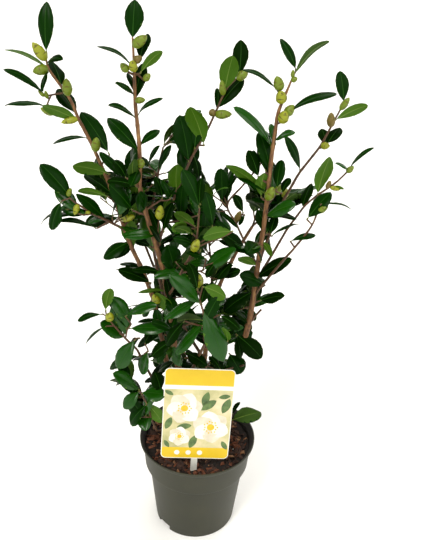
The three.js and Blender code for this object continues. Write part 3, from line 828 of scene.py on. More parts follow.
BUD_MATERIALS = [
    plain_material("bud_green", (100, 118, 22), 0.4, coat=0.1, specular=0.3),
    plain_material("bud_yellow", (134, 140, 26), 0.4, coat=0.1, specular=0.3),
    plain_material("bud_brown", (104, 88, 38), 0.45, coat=0.1, specular=0.3),
    plain_material("bud_scale_edge", (88, 84, 22), 0.5, specular=0.3),
]
BARK = patterned_material("bark_wood", [(48, 30, 14), (104, 68, 36), (142, 106, 62)],
                          420, (0.6, 0.85), 0.5, stretch=(1, 1, 0.22))
YOUNG_BARK = patterned_material("young_bark_wood", [(43, 24, 12), (76, 47, 24), (97, 73, 36)],
                                500, (0.5, 0.7), 0.35, stretch=(1, 1, 0.3))
POT_PLASTIC = patterned_material("moulded_plastic", [(34, 35, 20), (39, 40, 23), (45, 45, 27)],
                                 30, (0.5, 0.62), 0.12, grain=900)
# The pot's inside wall: the same plastic made darker and browner, as painted shade
POT_INSIDE_SHADE = patterned_material("soiled_plastic", [(24, 21, 17), (34, 31, 26), (44, 41, 34)],
                                60, (0.6, 0.8), 0.2, grain=900)
SOIL = patterned_material("potting_mix", [(8, 4, 2), (22, 12, 6), (42, 25, 13)],
                          300, (0.75, 0.95), 1.0)
CHIP_MATERIALS = [
    patterned_material("chip_dark", [(30, 14, 8), (64, 35, 19)], 500, (0.6, 0.9), 0.6),
    patterned_material("chip_red", [(66, 32, 16), (120, 66, 36)], 500, (0.55, 0.85), 0.6),
    patterned_material("chip_tan", [(104, 68, 42), (156, 112, 76)], 500, (0.6, 0.85), 0.5),
    patterned_material("white_grit", [(200, 196, 186), (236, 232, 224)], 800, (0.7, 0.9), 0.4),
]
CARD_MATERIALS = [
    patterned_material("card_white", [(226, 224, 214), (238, 236, 228)], 60, (0.32, 0.42), 0.05),
    patterned_material("stake_white", [(176, 176, 168), (206, 205, 198)], 80, (0.35, 0.5), 0.1),
]
INK_MATERIALS = [
    patterned_material("print_yellow", [(204, 170, 2), (214, 180, 8)], 50, (0.3, 0.4), 0.04),
    patterned_material("print_cream", [(150, 150, 96), (196, 188, 142), (222, 204, 172)],
                       26, (0.3, 0.42), 0.04),
    patterned_material("print_petal", [(212, 209, 200), (232, 229, 220)], 70, (0.3, 0.4), 0.04),
    patterned_material("print_shade", [(196, 187, 164), (216, 209, 190)], 90, (0.3, 0.4), 0.04),
    patterned_material("print_leaf", [(52, 78, 40), (96, 122, 62)], 160, (0.3, 0.4), 0.04),
    patterned_material("print_gold", [(222, 160, 20), (240, 188, 40)], 300, (0.3, 0.4), 0.04),
]


# Limbs: the line and radius of each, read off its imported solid


def limb_line(name):
    """The middle line and radius of a packed limb, from level cuts through it."""
    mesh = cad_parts[name].data
    points = np.array([v.co for v in mesh.vertices])
    edges = np.array([e.vertices for e in mesh.edges])
    start, end = points[edges[:, 0]], points[edges[:, 1]]
    low, high = points[:, 2].min(), points[:, 2].max()
    inset = min(CUT_INSET, (high - low) * CUT_INSET_SHARE)
    centres, rings = [], []
    for level in np.linspace(low + inset, high - inset, LIMB_CUTS):
        crossing = (start[:, 2] - level) * (end[:, 2] - level) < 0
        a, b = start[crossing], end[crossing]
        share = (level - a[:, 2]) / (b[:, 2] - a[:, 2])
        ring = a + (b - a) * share[:, None]
        rings.append(ring)
        centres.append((ring.min(0) + ring.max(0)) / 2)
    centres = np.array(centres)
    along = np.gradient(centres, axis=0)
    radii = []
    for centre, ring, way in zip(centres, rings, along):
        arms = ring - centre
        way = unit(way)
        arms = arms - np.outer(arms @ way, way)
        radii.append(np.linalg.norm(arms, axis=1).max())
    centres[0] += (low - centres[0][2]) / max(along[0][2], LEAST_CLIMB) * along[0]
    return centres, np.array(radii)


class Limb:
    """A stem, bough or twig: a dense line of points with a radius at each; a twig also has a group."""

    def __init__(self, name, points, radii, group=None):
        self.name = name
        self.points = points
        self.radii = radii
        self.group = group
        self.ways = np.gradient(points, axis=0)
        self.ways /= np.maximum(np.linalg.norm(self.ways, axis=1), TINY)[:, None]


def stretched(values, count):
    """That many values along the same course as the given ones."""
    return np.interp(np.linspace(0, 1, count), np.linspace(0, 1, len(values)), values)


def grown_limb(name):
    """A packed limb with the shoot that runs on from it."""
    centres, radii = limb_line(name)
    line = smooth_line(centres, TWIG_STEP)
    radii = stretched(radii, len(line))
    tips = [placed(*tip) for tip in LIMB_TIPS.get(name, [])]
    if not tips:
        return Limb(name, line, radii)
    packed = len(line)
    line = smooth_line(np.vstack([centres] + [np.array(tips)]), TWIG_STEP)
    shoot = np.linspace(radii[-1], min(SHOOT_TIP, radii[-1]), max(2, len(line) - packed))
    return Limb(name, line, stretched(np.concatenate([radii, shoot]), len(line)))


def frames_along(ways):
    """Two unit vectors square to each way, turning as little as they can."""
    side = square_to(FIRST_SIDE, ways[0])
    sides = []
    for way in ways:
        side = square_to(side, way)
        sides.append(side)
    sides = np.array(sides)
    return sides, np.cross(ways, sides)


def hash_of(text):
    """A number from a name that is the same in every run."""
    return sum(ord(letter) * (i + 3) for i, letter in enumerate(text))


def bark_noise(spot, scale):
    """The bark's noise at a spot in millimetres, drawn out along the limb."""
    return noise.noise(Vector(spot * scale))


def tube(limb, sides, relief=RELIEF):
    """A round limb with swollen leaf nodes and a bark relief that runs along it."""
    first, second = frames_along(limb.ways)
    length = np.concatenate([[0], np.cumsum(np.linalg.norm(np.diff(limb.points, axis=0), axis=1))])
    turn = np.linspace(0, 2 * math.pi, sides, endpoint=False)
    offset = hash_of(limb.name) % 100 / 100 * NODE_SPACING
    to_node = np.abs((length + offset) % NODE_SPACING - NODE_SPACING / 2)
    swell = 1 + NODE_SWELL * np.exp(-((to_node / NODE_LENGTH) ** 2))
    points = []
    for i, centre in enumerate(limb.points):
        for angle in turn:
            out = first[i] * math.cos(angle) + second[i] * math.sin(angle)
            rough = 0
            if relief:
                spot = (centre + out * limb.radii[i]) * PER_METRE
                rough = relief * bark_noise(spot, COARSE_BARK)
                rough += relief * FINE_RELIEF * bark_noise(spot, FINE_BARK)
            points.append(centre + out * limb.radii[i] * (swell[i] + rough))
    rows = len(limb.points)
    return np.array(points), grid_faces(rows, sides, closed=True) + end_caps(rows, sides)


STEMS = [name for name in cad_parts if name.endswith("_stem")]
BOUGHS = [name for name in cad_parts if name.endswith("_bough")]
MASSES = [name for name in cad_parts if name.endswith("_leaves")]
limbs = {name: grown_limb(name) for name in STEMS + BOUGHS}


# Leaves


def varied(measure, rng):
    """A measure given as the least it is and the most that chance adds to it."""
    least, extra = measure
    return least + extra * rng.random()


def leaf_outline(share, point):
    """Half the blade's width at each share of its length, at most one, with a tip as sharp as asked."""
    sharpness = FOOT_BLUNTNESS + (point - FOOT_BLUNTNESS) * share
    return np.sin(math.pi * np.minimum(share, BLADE_END) ** WIDEST_OUT) ** sharpness


def leaf_points(foot, tip, face, width, bend, twist, rng):
    """The upper and then the lower points of a leaf from its foot on the twig to its tip."""
    chord = tip - foot
    length = np.linalg.norm(chord)
    axis = chord / length
    normal = square_to(face, axis)
    side = np.cross(axis, normal)

    blade = np.linspace(0, 1, BLADE_ROWS)
    blade = 0.5 * blade + 0.25 * (1 - np.cos(math.pi * blade))
    share = np.concatenate([np.linspace(0, STALK_SHARE, STALK_ROWS, endpoint=False),
                            STALK_SHARE + (1 - STALK_SHARE) * blade])
    heading = -bend * share**BEND_POWER
    steps = np.diff(share)
    middle = (heading[1:] + heading[:-1]) / 2
    ahead = np.concatenate([[0], np.cumsum(steps * np.cos(middle))])
    above = np.concatenate([[0], np.cumsum(steps * np.sin(middle))])
    slope = math.atan2(above[-1], ahead[-1])
    scale = length / math.hypot(ahead[-1], above[-1])
    cosine, sine = math.cos(-slope), math.sin(-slope)
    forward = (ahead * cosine - above * sine) * scale
    rise = (ahead * sine + above * cosine) * scale
    heading = heading - slope
    line = foot + np.outer(forward, axis) + np.outer(rise, normal)
    lift = -np.outer(np.sin(heading), axis) + np.outer(np.cos(heading), normal)
    turn = twist * share
    sides = np.outer(np.cos(turn), side) + lift * np.sin(turn)[:, None]
    lift = lift * np.cos(turn)[:, None] - np.outer(np.sin(turn), side)

    half = np.full(len(share), STALK_RADIUS * MM)
    profile = leaf_outline(blade, varied(BLUNTNESS, rng)) * width / 2
    teeth = 1 + TEETH * np.where(np.arange(BLADE_ROWS) % 2, 1, -1)
    half[STALK_ROWS:] = np.maximum(profile * teeth, EDGE_LEAST * MM)
    half[-1] = TIP_HALF * MM
    rib = np.minimum(RIB_WIDTH * MM / 2 * (1 - RIB_TAPER * share), half * RIB_SHARE)

    across = np.outer(half, COLUMNS)
    across[:, RIB_COLUMN] = -rib
    across[:, RIB_COLUMN + 1] = rib
    u = np.abs(across) / half[:, None]
    fold = varied(FOLD, rng)
    curl = varied(CURL, rng)
    height = np.abs(across) * fold - curl * u**2 * np.abs(across)
    on_blade = np.zeros(len(share))
    on_blade[STALK_ROWS:] = np.sin(math.pi * blade)
    veins = np.cos(2 * math.pi * (VEINS * share[:, None] - VEIN_SLANT * u)) * u * (1 - u) * 4
    height += VEIN_RELIEF * MM * veins * on_blade[:, None]
    wave = WAVE_RELIEF * width * math.sin(6 * rng.random())
    height += wave * np.sin(2 * math.pi * WAVES * share + 6 * rng.random())[:, None] * u**2
    upper = line[:, None, :] + sides[:, None, :] * across[:, :, None] + lift[:, None, :] * height[:, :, None]
    thick = LEAF_THICKNESS * MM * (1 - u**3)
    thick[:STALK_ROWS] = STALK_DEPTH * MM * (1 - 0.5 * u[:STALK_ROWS])
    thick[:, RIB_COLUMN:RIB_COLUMN + 2] += RIB_DEPTH * MM * (1 - share[:, None])
    lower = upper - lift[:, None, :] * thick[:, :, None]
    return np.concatenate([upper.reshape(-1, 3), lower.reshape(-1, 3)])


def leaf_slots(tone):
    """The material of each face of a leaf: blade, rib and stalk, above and below."""
    slots = []
    for blade, rib in ((tone, RIB_DARK if tone < FRESH else RIB_PALE), (UNDER + tone, RIB_PALE)):
        for row in range(LEAF_ROWS - 1):
            for column in range(len(COLUMNS) - 1):
                if row < STALK_ROWS:
                    slots.append(STALK)
                else:
                    slots.append(rib if column == RIB_COLUMN else blade)
    return slots


LEAF_FACES = (grid_faces(LEAF_ROWS, len(COLUMNS))
              + grid_faces(LEAF_ROWS, len(COLUMNS), flip=True, start=LEAF_ROWS * len(COLUMNS)))
LEAF_SLOTS = [leaf_slots(tone) for tone in (DEEP, DARK, GREEN, FRESH)]


# Buds


def bud_template():
    """A bud of length one and radius one along Z: an egg in shells of scales, the short ones outside.
    With its points and faces comes whether each face is the edge of a scale."""
    def radius(share):
        return math.sin(math.pi * min(1, max(0, share)) ** BUD_WIDEST) ** BUD_BLUNTNESS

    points = []
    core = 1 - BUD_LAYER * BUD_SCALES
    for i in range(BUD_ROWS):
        share = BUD_FOOT + BUD_LENGTH * i / (BUD_ROWS - 1)
        for angle in ring_angles(BUD_COLUMNS):
            reach = core * radius(share)
            points.append((reach * math.cos(angle), reach * math.sin(angle), share))
    faces = grid_faces(BUD_ROWS, BUD_COLUMNS, closed=True) + end_caps(BUD_ROWS, BUD_COLUMNS)
    edges = [False] * len(faces)

    for k in range(BUD_SCALES):
        top = SCALE_FROM + SCALE_RISE * k / (BUD_SCALES - 1)
        centre = GOLDEN_TURN * k
        start = len(points)
        for i in range(SCALE_ROWS):
            v = i / (SCALE_ROWS - 1)
            for j in range(SCALE_COLUMNS):
                w = 2 * j / (SCALE_COLUMNS - 1) - 1
                spread = SCALE_SPREAD * math.sqrt(max(0, 1 - v**SCALE_POWER))
                angle = centre + w * spread
                share = BUD_FOOT + (top - BUD_FOOT) * v
                reach = radius(share) * (1 - BUD_LAYER * k) * (1 - SCALE_TUCK * w * w)
                points.append((reach * math.cos(angle), reach * math.sin(angle), share))
        faces += grid_faces(SCALE_ROWS, SCALE_COLUMNS, start=start)
        edges += [i == SCALE_ROWS - 2 for i in range(SCALE_ROWS - 1) for j in range(SCALE_COLUMNS - 1)]
    return np.array(points), faces, edges


BUD_POINTS, BUD_FACES, BUD_EDGES = bud_template()


def bud_points(foot, tip, width, turn):
    """A bud of that width from its foot to its tip."""
    axis = tip - foot
    length = np.linalg.norm(axis)
    axis = axis / length
    side = square_to(np.array([math.cos(turn), math.sin(turn), 0.3]), axis)
    other = np.cross(axis, side)
    shape = BUD_POINTS * np.array([width / 2, width / 2, length])
    return foot + np.outer(shape[:, 0], side) + np.outer(shape[:, 1], other) + np.outer(shape[:, 2], axis)


# Growth: what shows in the photograph first, then a seeded rule that fills each mass


rng = random.Random(SEED)
leaves, twigs, buds = [], [], []


def carried(limb, x, z):
    """The point of a limb nearest to a reading, and how far off it lies."""
    gaps = np.linalg.norm(read_off(limb.points) - np.array([x, z]), axis=1)
    nearest = int(np.argmin(gaps))
    return limb.points[nearest], gaps[nearest] * MM


def fork_cost(limb, target):
    """How good each point of a limb is to start a twig to the target: near, and not against its way."""
    arms = target - limb.points
    apart = np.linalg.norm(arms, axis=1)
    ahead = (arms * limb.ways).sum(1) / np.maximum(apart, TINY)
    return apart * (FORK_COST - FORK_AHEAD * ahead)


def fork_line(limb, i, target):
    """A gentle curve that leaves a limb forward and ends a little upright at the target."""
    start = limb.points[i]
    reach = np.linalg.norm(target - start)
    direct = (target - start) / max(reach, TINY)
    sway = min(1, reach / SWAY_REACH)
    leave = start + unit(limb.ways[i] * FORK_FORWARD * sway + direct) * reach * HANDLE
    arrive = target - unit(direct + FORK_UPRIGHT * sway * UP) * reach * HANDLE
    t = np.linspace(0, 1, max(3, int(reach / TWIG_STEP) + 1))[:, None]
    return ((1 - t) ** 3 * start + 3 * t * (1 - t) ** 2 * leave + 3 * t**2 * (1 - t) * arrive
            + t**3 * target)


def best_fork(target, carriers):
    """The limb, and the number of its point, that a twig to the target forks from best."""
    best, choice = None, None
    for limb in carriers:
        low = limb.points[:, 2] < FORK_FROM
        cost = fork_cost(limb, target) + LOW_FORK_COST * low
        i = int(np.argmin(cost))
        if best is None or cost[i] < best:
            best, choice = cost[i], (limb, i)
    return choice


def stalk_to(foot, thickness):
    """A short twig to the foot of a leaf or bud from what carries it best."""
    limb, i = best_fork(foot, list(limbs.values()) + twigs)
    line = fork_line(limb, i, foot)
    start = min(thickness * STALK_TAPER, limb.radii[i] * STALK_TO_LIMB)
    return Limb(limb.name + "_twig", line, np.linspace(start, min(thickness, start), len(line)))


def grow_shown(limb, x, z, thickness):
    """The foot of a leaf or bud that shows, with a stalk from its limb where it stands off it."""
    on_limb, gap = carried(limb, x, z)
    if gap < OFF_LIMB:
        return on_limb
    foot = placed(x, z, on_limb[1] / MM)
    twigs.append(stalk_to(foot, thickness))
    return foot


def to_camera(foot, tip, face):
    """The upper side of a blade whose face meets the camera that squarely, turned up otherwise."""
    axis = unit(tip - foot)
    towards = square_to(EYE - (foot + tip) / 2, axis)
    sideways = np.cross(axis, towards)
    if sideways[2] < 0:
        sideways = -sideways
    return towards * face + sideways * math.sqrt(1 - face * face)


def grow_shown_leaves():
    """The leaves of the table, each on its own limb; one seen edge on bends the most."""
    for name, rows in SHOWN_LEAVES.items():
        for x, z, tip_x, tip_z, behind, width, face, tone in rows:
            foot = grow_shown(limbs[name], x, z, LEAF_STALK)
            tip = placed(tip_x, tip_z, foot[1] / MM + behind)
            bend = FLAT_BEND + EDGE_BEND * (1 - abs(face))
            leaves.append((foot, tip, to_camera(foot, tip, face), width * MM, bend, tone))


def grow_shown_buds():
    """The buds of the table, each on its own limb."""
    for name, rows in SHOWN_BUDS.items():
        for x, z, tip_x, tip_z, behind, width, tone in rows:
            foot = grow_shown(limbs[name], x, z, BUD_STALK)
            tip = placed(tip_x, tip_z, foot[1] / MM + behind)
            buds.append((foot, tip, width * MM, tone))


def leaf_samples(foot, tip, shares=LEAF_SHARES):
    """The points of a leaf's middle line that stand for it in tests of room."""
    return np.array([foot + (tip - foot) * share for share in shares])


grow_shown_leaves()
grow_shown_buds()
SHOWN_POINTS = np.concatenate([leaf_samples(foot, tip, SHOWN_SHARES) for foot, tip, *_ in leaves + buds])
SHOWN_SEEN = read_off(SHOWN_POINTS)
SHOWN_DEPTH = SHOWN_POINTS[:, 1]
SHOWN_ROOM = np.repeat([blade[3] / 2 / MM + SHOWN_CLEAR for blade in leaves] + [SHOWN_CLEAR * 2] * len(buds),
                       len(SHOWN_SHARES))


class Mass:
    """The room that one packed mass gives to twigs and leaves."""

    def __init__(self, name):
        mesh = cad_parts[name].data
        self.name = name
        self.tree = BVHTree.FromPolygons([v.co for v in mesh.vertices], [p.vertices for p in mesh.polygons])
        self.low, self.high = (np.array(corner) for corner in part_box(name))
        self.middle = (self.low + self.high) / 2
        size = self.high - self.low
        self.volume = size.prod() * math.pi / 6 * MASS_FULLNESS

    def depth(self, point):
        """How far inside the mass a point lies, below 0 outside it."""
        near, normal, _, distance = self.tree.find_nearest(Vector(point))
        inside = (near - Vector(point)).dot(normal) > 0
        return distance if inside else -distance

    def nearness(self, point):
        """How far a point lies from the middle, as a share of the mass's size."""
        return np.linalg.norm((point - self.middle) / (self.high - self.low))


masses = {name: Mass(name) for name in MASSES}


def nearest_mass(point):
    """The mass that a point belongs to."""
    return min(masses.values(), key=lambda mass: mass.nearness(point))


def hides_label(samples):
    """Whether any point stands in the label's way as the camera sees it, or touches it."""
    seen = read_off(samples)
    (left, low), (right, high) = LABEL_VIEW
    inside = (seen[:, 0] > left) & (seen[:, 0] < right) & (seen[:, 1] > low) & (seen[:, 1] < high)
    return (inside & (samples[:, 1] < LABEL_BEHIND)).any()


def shows_sky(samples):
    """Whether any point crosses an opening through which the photograph shows sky."""
    across, up = read_off(samples).T
    return any((((across - x) / (wide + SKY_CLEAR)) ** 2 + ((up - z) / (tall + SKY_CLEAR)) ** 2 < 1).any()
               for x, z, wide, tall in OPENINGS)


def hides_shown(samples):
    """Whether any point stands before a leaf or bud that the photograph shows, as the camera sees it."""
    seen = read_off(samples)
    across = np.linalg.norm(seen[:, None] - SHOWN_SEEN[None], axis=2) < SHOWN_ROOM
    return (across & (samples[:, None, 1] < SHOWN_DEPTH[None] + SHOWN_BEHIND)).any()


def is_free(samples, placed_samples):
    """Whether a leaf's sample points stand clear of what shows, of sky and of the leaves before it."""
    if hides_label(samples) or shows_sky(samples) or hides_shown(samples):
        return False
    gaps = np.linalg.norm(samples[:, None] - np.array(placed_samples)[None], axis=2)
    return gaps.min() > LEAF_CLEAR


def twig_to(target, group):
    """A twig to a point from the limb or grown twig that forks to it best."""
    limb, i = best_fork(target, list(limbs.values()) + [twig for twig in twigs if twig.group])
    line = fork_line(limb, i, target)
    reach = np.linalg.norm(target - limb.points[i]) / MM
    thick = min(limb.radii[i] * TWIG_TO_LIMB, (TWIG_RADIUS + reach * TWIG_TAPER) * MM)
    return Limb(group + "_twig", line, np.linspace(thick, TWIG_TIP, len(line)), group)


def inner_points(mass, margin):
    """Points strewn inside a mass, at least a margin from its skin."""
    pool = []
    for _ in range(INNER_TRIES):
        point = np.array([rng.uniform(low, high) for low, high in zip(mass.low, mass.high)])
        if len(pool) < INNER_POINTS and mass.depth(point) > margin:
            pool.append(point)
    return np.array(pool or [mass.middle])


def leaf_on(twig, i, turn, opening):
    """The way and the upper side of a leaf at one point of a twig."""
    way = twig.ways[i]
    side = square_to(SPIRAL_SIDE, way)
    other = np.cross(way, side)
    out = side * math.cos(turn) + other * math.sin(turn)
    direction = unit(way * math.cos(opening) + out * math.sin(opening) + UP * LEAF_RISE)
    face = square_to(way * FACE_WAY + UP * FACE_UP + out * FACE_OUT, direction)
    roll = rng.uniform(-LEAF_ROLL, LEAF_ROLL)
    face = face * math.cos(roll) + np.cross(direction, face) * math.sin(roll)
    return direction, face


def tone_weights(height):
    """How often each colour of leaf comes at a height: greener low down, darker at the top."""
    up = min(1, max(0, (height / MM - TONES_FROM) / TONES_REACH))
    return [low + more * up for low, more in TONE_SHARES]


def dress_twig(twig, mass, wanted, samples, reach):
    """Leaves in a spiral down a twig from its tip, as many as the mass has room for."""
    grown = []
    turn = rng.uniform(0, 2 * math.pi)
    length_along = np.linalg.norm(np.diff(twig.points, axis=0), axis=1).sum()
    places = max(1, int(length_along * LEAFY_SHARE / LEAF_STEP)) + 1
    for k in range(places + 1):
        share = 1 - k * LEAF_STEP / max(length_along, LEAF_STEP)
        if len(grown) >= wanted or share < BARE_SHARE:
            break
        i = int(share * (len(twig.points) - 1))
        opening = math.radians(LEAF_OPENING + min(OPENING_MORE, OPENING_STEP * k)
                               + rng.uniform(-OPENING_SPREAD, OPENING_SPREAD))
        length = rng.uniform(*LEAF_LENGTHS) * MM * (END_LEAF if k == 0 else 1)
        for attempt in range(LEAF_TRIES):
            direction, face = leaf_on(twig, i, turn + attempt * TRY_TURN, opening)
            foot = twig.points[i]
            tip = foot + direction * length
            close = leaf_samples(foot, tip)
            if tip[1] < CROWN_BACK and mass.depth(tip) > -reach and is_free(close, samples):
                width = length * rng.uniform(*LEAF_WIDTHS)
                bend = rng.uniform(*LEAF_BENDS)
                tone = rng.choices((DEEP, DARK, GREEN, FRESH), tone_weights(tip[2]))[0]
                leaves.append((foot, tip, face, width, bend, tone))
                samples.extend(close)
                grown.append(i)
                break
            length *= TRY_SHRINK
        turn += GOLDEN_TURN
    return grown


def leafy_twig(twig, mass, wanted, samples, reach):
    """Dress a twig, cut it back to its topmost leaf, and tell how many leaves it holds."""
    grown = dress_twig(twig, mass, wanted, samples, reach)
    if not grown:
        return 0
    last = max(max(grown) + 1, 2)
    twig = Limb(twig.name, twig.points[:last], twig.radii[:last], twig.group)
    twigs.append(twig)
    if rng.random() < BUD_SHARE and twig.points[-1][1] > 0:
        way = unit(twig.ways[-1] + BUD_RISE * UP)
        foot = twig.points[-1]
        size = rng.uniform(*BUD_SIZES) * MM
        buds.append((foot, foot + way * size * BUD_SLIMNESS, size, rng.choice((BUD_GREEN, BUD_YELLOW))))
    return len(grown)


def fill_mass(mass, wanted, samples):
    """Twigs with leaves, each into the emptiest part of what is left of a mass."""
    pool = np.array([point for point in inner_points(mass, MASS_INSET) if not shows_sky(point[None])])
    reach = BACK_REACH if mass.middle[1] > BACK_FROM else TIP_REACH
    while wanted > 0 and len(pool):
        nearest = np.linalg.norm(pool[:, None] - np.array(samples)[None], axis=2).min(1)
        target = pool[int(np.argmax(nearest))]
        pool = pool[np.linalg.norm(pool - target, axis=1) > TWIG_CLEAR]
        twig = twig_to(target, mass.name)
        wanted -= leafy_twig(twig, mass, min(TWIG_LEAVES, wanted), samples, reach)


def sprout_between(samples):
    """Short leafy shoots where a limb runs bare between the masses, backward from the front limbs."""
    for name, limb in limbs.items():
        for i in range(SPROUT_EVERY // 2, len(limb.points), SPROUT_EVERY):
            point = limb.points[i]
            behind = point[1] > SPROUT_BEHIND
            if point[2] < SPROUT_FROM or (point[2] > SPROUT_TO and not behind):
                continue
            backward = rng.uniform(SPROUT_FORWARD if behind else SPROUT_BACKWARD, 1)
            out = square_to(np.array([rng.uniform(-1, 1), backward, 0.2]), limb.ways[i])
            longest = SPROUT_LONG_BEHIND if behind else SPROUT_LONG
            target = point + (out + SPROUT_RISE * UP) * rng.uniform(SPROUT_SHORT, longest) * MM
            if np.linalg.norm(np.array(samples) - target, axis=1).min() < SPROUT_GAP:
                continue
            if not shows_sky(target[None]):
                leafy_twig(twig_to(target, name), nearest_mass(target), SPROUT_LEAVES, samples, SPROUT_REACH)


def fill_masses():
    """Twigs and leaves for what the shown leaves leave open in each mass."""
    samples = [point for foot, tip, *_ in leaves for point in leaf_samples(foot, tip)]
    shown = {}
    for foot, tip, *_ in leaves:
        name = nearest_mass((foot + tip) / 2).name
        shown[name] = shown.get(name, 0) + 1
    for mass in sorted(masses.values(), key=lambda mass: mass.middle[2]):
        if mass.name in LEFT_AS_SHOWN:
            continue
        room = ROOM_OF.get(mass.name, LEAF_ROOM)
        wanted = round(mass.volume / (room * MM**3)) - shown.get(mass.name, 0)
        fill_mass(mass, wanted, samples)
    sprout_between(samples)


fill_masses()


# Pieces of the plant


def nodes_of(part):
    """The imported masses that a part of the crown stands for."""
    return [mass + "_leaves" for mass in CROWN_PARTS[part]]


PART_OF = {node: part for part in CROWN_PARTS for node in nodes_of(part)}


def part_of(point):
    """The part of the crown that a point belongs to."""
    return PART_OF[nearest_mass(point).name]


def make_foliage():
    """The leaves, twigs and buds of each part of the crown, a piece each."""
    blades = {part: Gather() for part in CROWN_PARTS}
    rods = {part: Gather() for part in CROWN_PARTS}
    knobs = {part: Gather() for part in CROWN_PARTS}
    shape = random.Random(SEED + 1)
    for foot, tip, face, width, bend, tone in leaves:
        twist = shape.uniform(-LEAF_TWIST, LEAF_TWIST)
        points = leaf_points(foot, tip, face, width, bend, twist, shape)
        blades[part_of((foot + tip) / 2)].add(points, LEAF_FACES, LEAF_SLOTS[tone])
    for twig in twigs:
        rods[part_of(twig.points[-1])].add(*tube(twig, TWIG_SIDES, relief=0), 0)
    for foot, tip, width, tone in buds:
        points = bud_points(foot, tip, width, shape.uniform(0, 6))
        slots = [SCALE_EDGE if edge else tone for edge in BUD_EDGES]
        knobs[part_of(tip)].add(points, BUD_FACES, slots)
    for part in CROWN_PARTS:
        nodes = nodes_of(part)
        blades[part].piece(part + "_foliage", LEAF_MATERIALS, "leaves", nodes)
        if rods[part].count:
            rods[part].piece(part + "_twigs", [YOUNG_BARK], "young_bark", nodes)
        if knobs[part].count:
            knobs[part].piece(part + "_buds", BUD_MATERIALS, "leaves", nodes)


def make_limbs():
    """The stems in old bark and the boughs in young, each with finer points along it than it grew by."""
    for name, limb in limbs.items():
        stem = name in STEMS
        line = limb.points[::2] if len(limb.points) > SHORT_LIMB else limb.points
        fine = Limb(name, smooth_line(line, BARK_STEP), None)
        fine.radii = stretched(limb.radii, len(fine.points))
        gather = Gather()
        gather.add(*tube(fine, STEM_SIDES if stem else BOUGH_SIDES), 0)
        gather.piece(name + "_bark", [BARK if stem else YOUNG_BARK], "bark" if stem else "young_bark", [name])


# Pot


def smooth_by_angle(piece, degrees):
    """Smooth shading with crisp edges where two faces meet more sharply than that."""
    mesh = piece.data
    shape = bmesh.new()
    shape.from_mesh(mesh)
    for edge in shape.edges:
        edge.smooth = len(edge.link_faces) == 2 and edge.calc_face_angle(0) < math.radians(degrees)
    for face in shape.faces:
        face.smooth = True
    shape.to_mesh(mesh)
    shape.free()


def round_corners(profile, radius):
    """A profile with each inner corner cut to a small arc of about that radius."""
    out = [profile[0]]
    for before, at, after in zip(profile, profile[1:], profile[2:]):
        before, at, after = (np.array(point, float) for point in (before, at, after))
        reach = min(radius, np.linalg.norm(before - at) / 2.5, np.linalg.norm(after - at) / 2.5)
        start, end = at + unit(before - at) * reach, at + unit(after - at) * reach
        for i in range(ROUNDING_STEPS + 1):
            t = i / ROUNDING_STEPS
            out.append(tuple((1 - t) ** 2 * start + 2 * t * (1 - t) * at + t**2 * end))
    return out + [profile[-1]]


def subdivided(profile, step):
    """A profile with points at most a step apart."""
    out = [profile[0]]
    for a, b in zip(profile, profile[1:]):
        count = max(1, math.ceil(math.dist(a, b) / step))
        out += [(a[0] + (b[0] - a[0]) * i / count, a[1] + (b[1] - a[1]) * i / count)
                for i in range(1, count + 1)]
    return out


def notch_push(angle, height):
    """How far the wall is pushed in at the pot's foot, at one of its two notches."""
    push = 0
    for notch in NOTCH_ANGLES:
        turn = math.radians((angle - notch + 180) % 360 - 180)
        aside = abs(math.sin(turn)) * BASE_RADIUS if abs(turn) < 1 else NOTCH_WIDTH
        beside = min(1, max(0, (NOTCH_WIDTH / 2 - aside) / NOTCH_EDGE))
        below = min(1, max(0, (NOTCH_HEIGHT - height) / NOTCH_EDGE))
        push = max(push, beside * below)
    return push * NOTCH_DEPTH


def make_pot():
    """The turned wall with its stepped collar and lip, its inside darkened as painted shade, and its floor.
    """
    lip_foot = POT_HEIGHT - LIP_HEIGHT - LIP_SLOPE
    walls = [
        (FLOOR_RADIUS, 0),
        (BASE_RADIUS, 0),
        (BODY_TOP_RADIUS, STEP_HEIGHT - STEP_SLOPE),
        (COLLAR_FOOT_RADIUS, STEP_HEIGHT),
        (COLLAR_TOP_RADIUS, lip_foot),
        (RIM_RADIUS, POT_HEIGHT - LIP_HEIGHT),
        (RIM_RADIUS, POT_HEIGHT),
        (RIM_RADIUS - POT_WALL, POT_HEIGHT),
        (COLLAR_TOP_RADIUS - POT_WALL, lip_foot),
        (COLLAR_FOOT_RADIUS - POT_WALL, STEP_HEIGHT + INNER_STEP_TOP),
        (BODY_TOP_RADIUS - POT_WALL, STEP_HEIGHT + INNER_STEP_FOOT),
        (BASE_RADIUS - 2 * POT_WALL, POT_FLOOR),
        (FLOOR_RADIUS, POT_FLOOR),
    ]
    profile = subdivided(round_corners(walls, POT_ROUNDING), POT_MESH_STEP)
    inside = 1 + max(i for i, (out, up) in enumerate(profile) if up > RIM_TOP)
    shape = bmesh.new()
    corners = []
    for out, up in profile:
        for j in range(POT_SIDES):
            angle = 360 * j / POT_SIDES
            reach = out - notch_push(angle, up) if out > FLOOR_RADIUS + 1 else out
            corners.append(shape.verts.new((reach * math.cos(math.radians(angle)) * MM,
                                            reach * math.sin(math.radians(angle)) * MM, up * MM)))
    for number, face in enumerate(grid_faces(len(profile), POT_SIDES, closed=True)):
        side = shape.faces.new([corners[i] for i in face])
        # Faces inside the rim take the darker plastic, which is painted shade
        side.material_index = 1 if number // POT_SIDES >= inside else 0
    pot = in_scene("nursery_pot", mesh_of(shape, "nursery_pot", [POT_PLASTIC, POT_INSIDE_SHADE]))
    smooth_by_angle(pot, POT_CRISP)
    finished(pot, ["pot"])
    make_pot_floor()


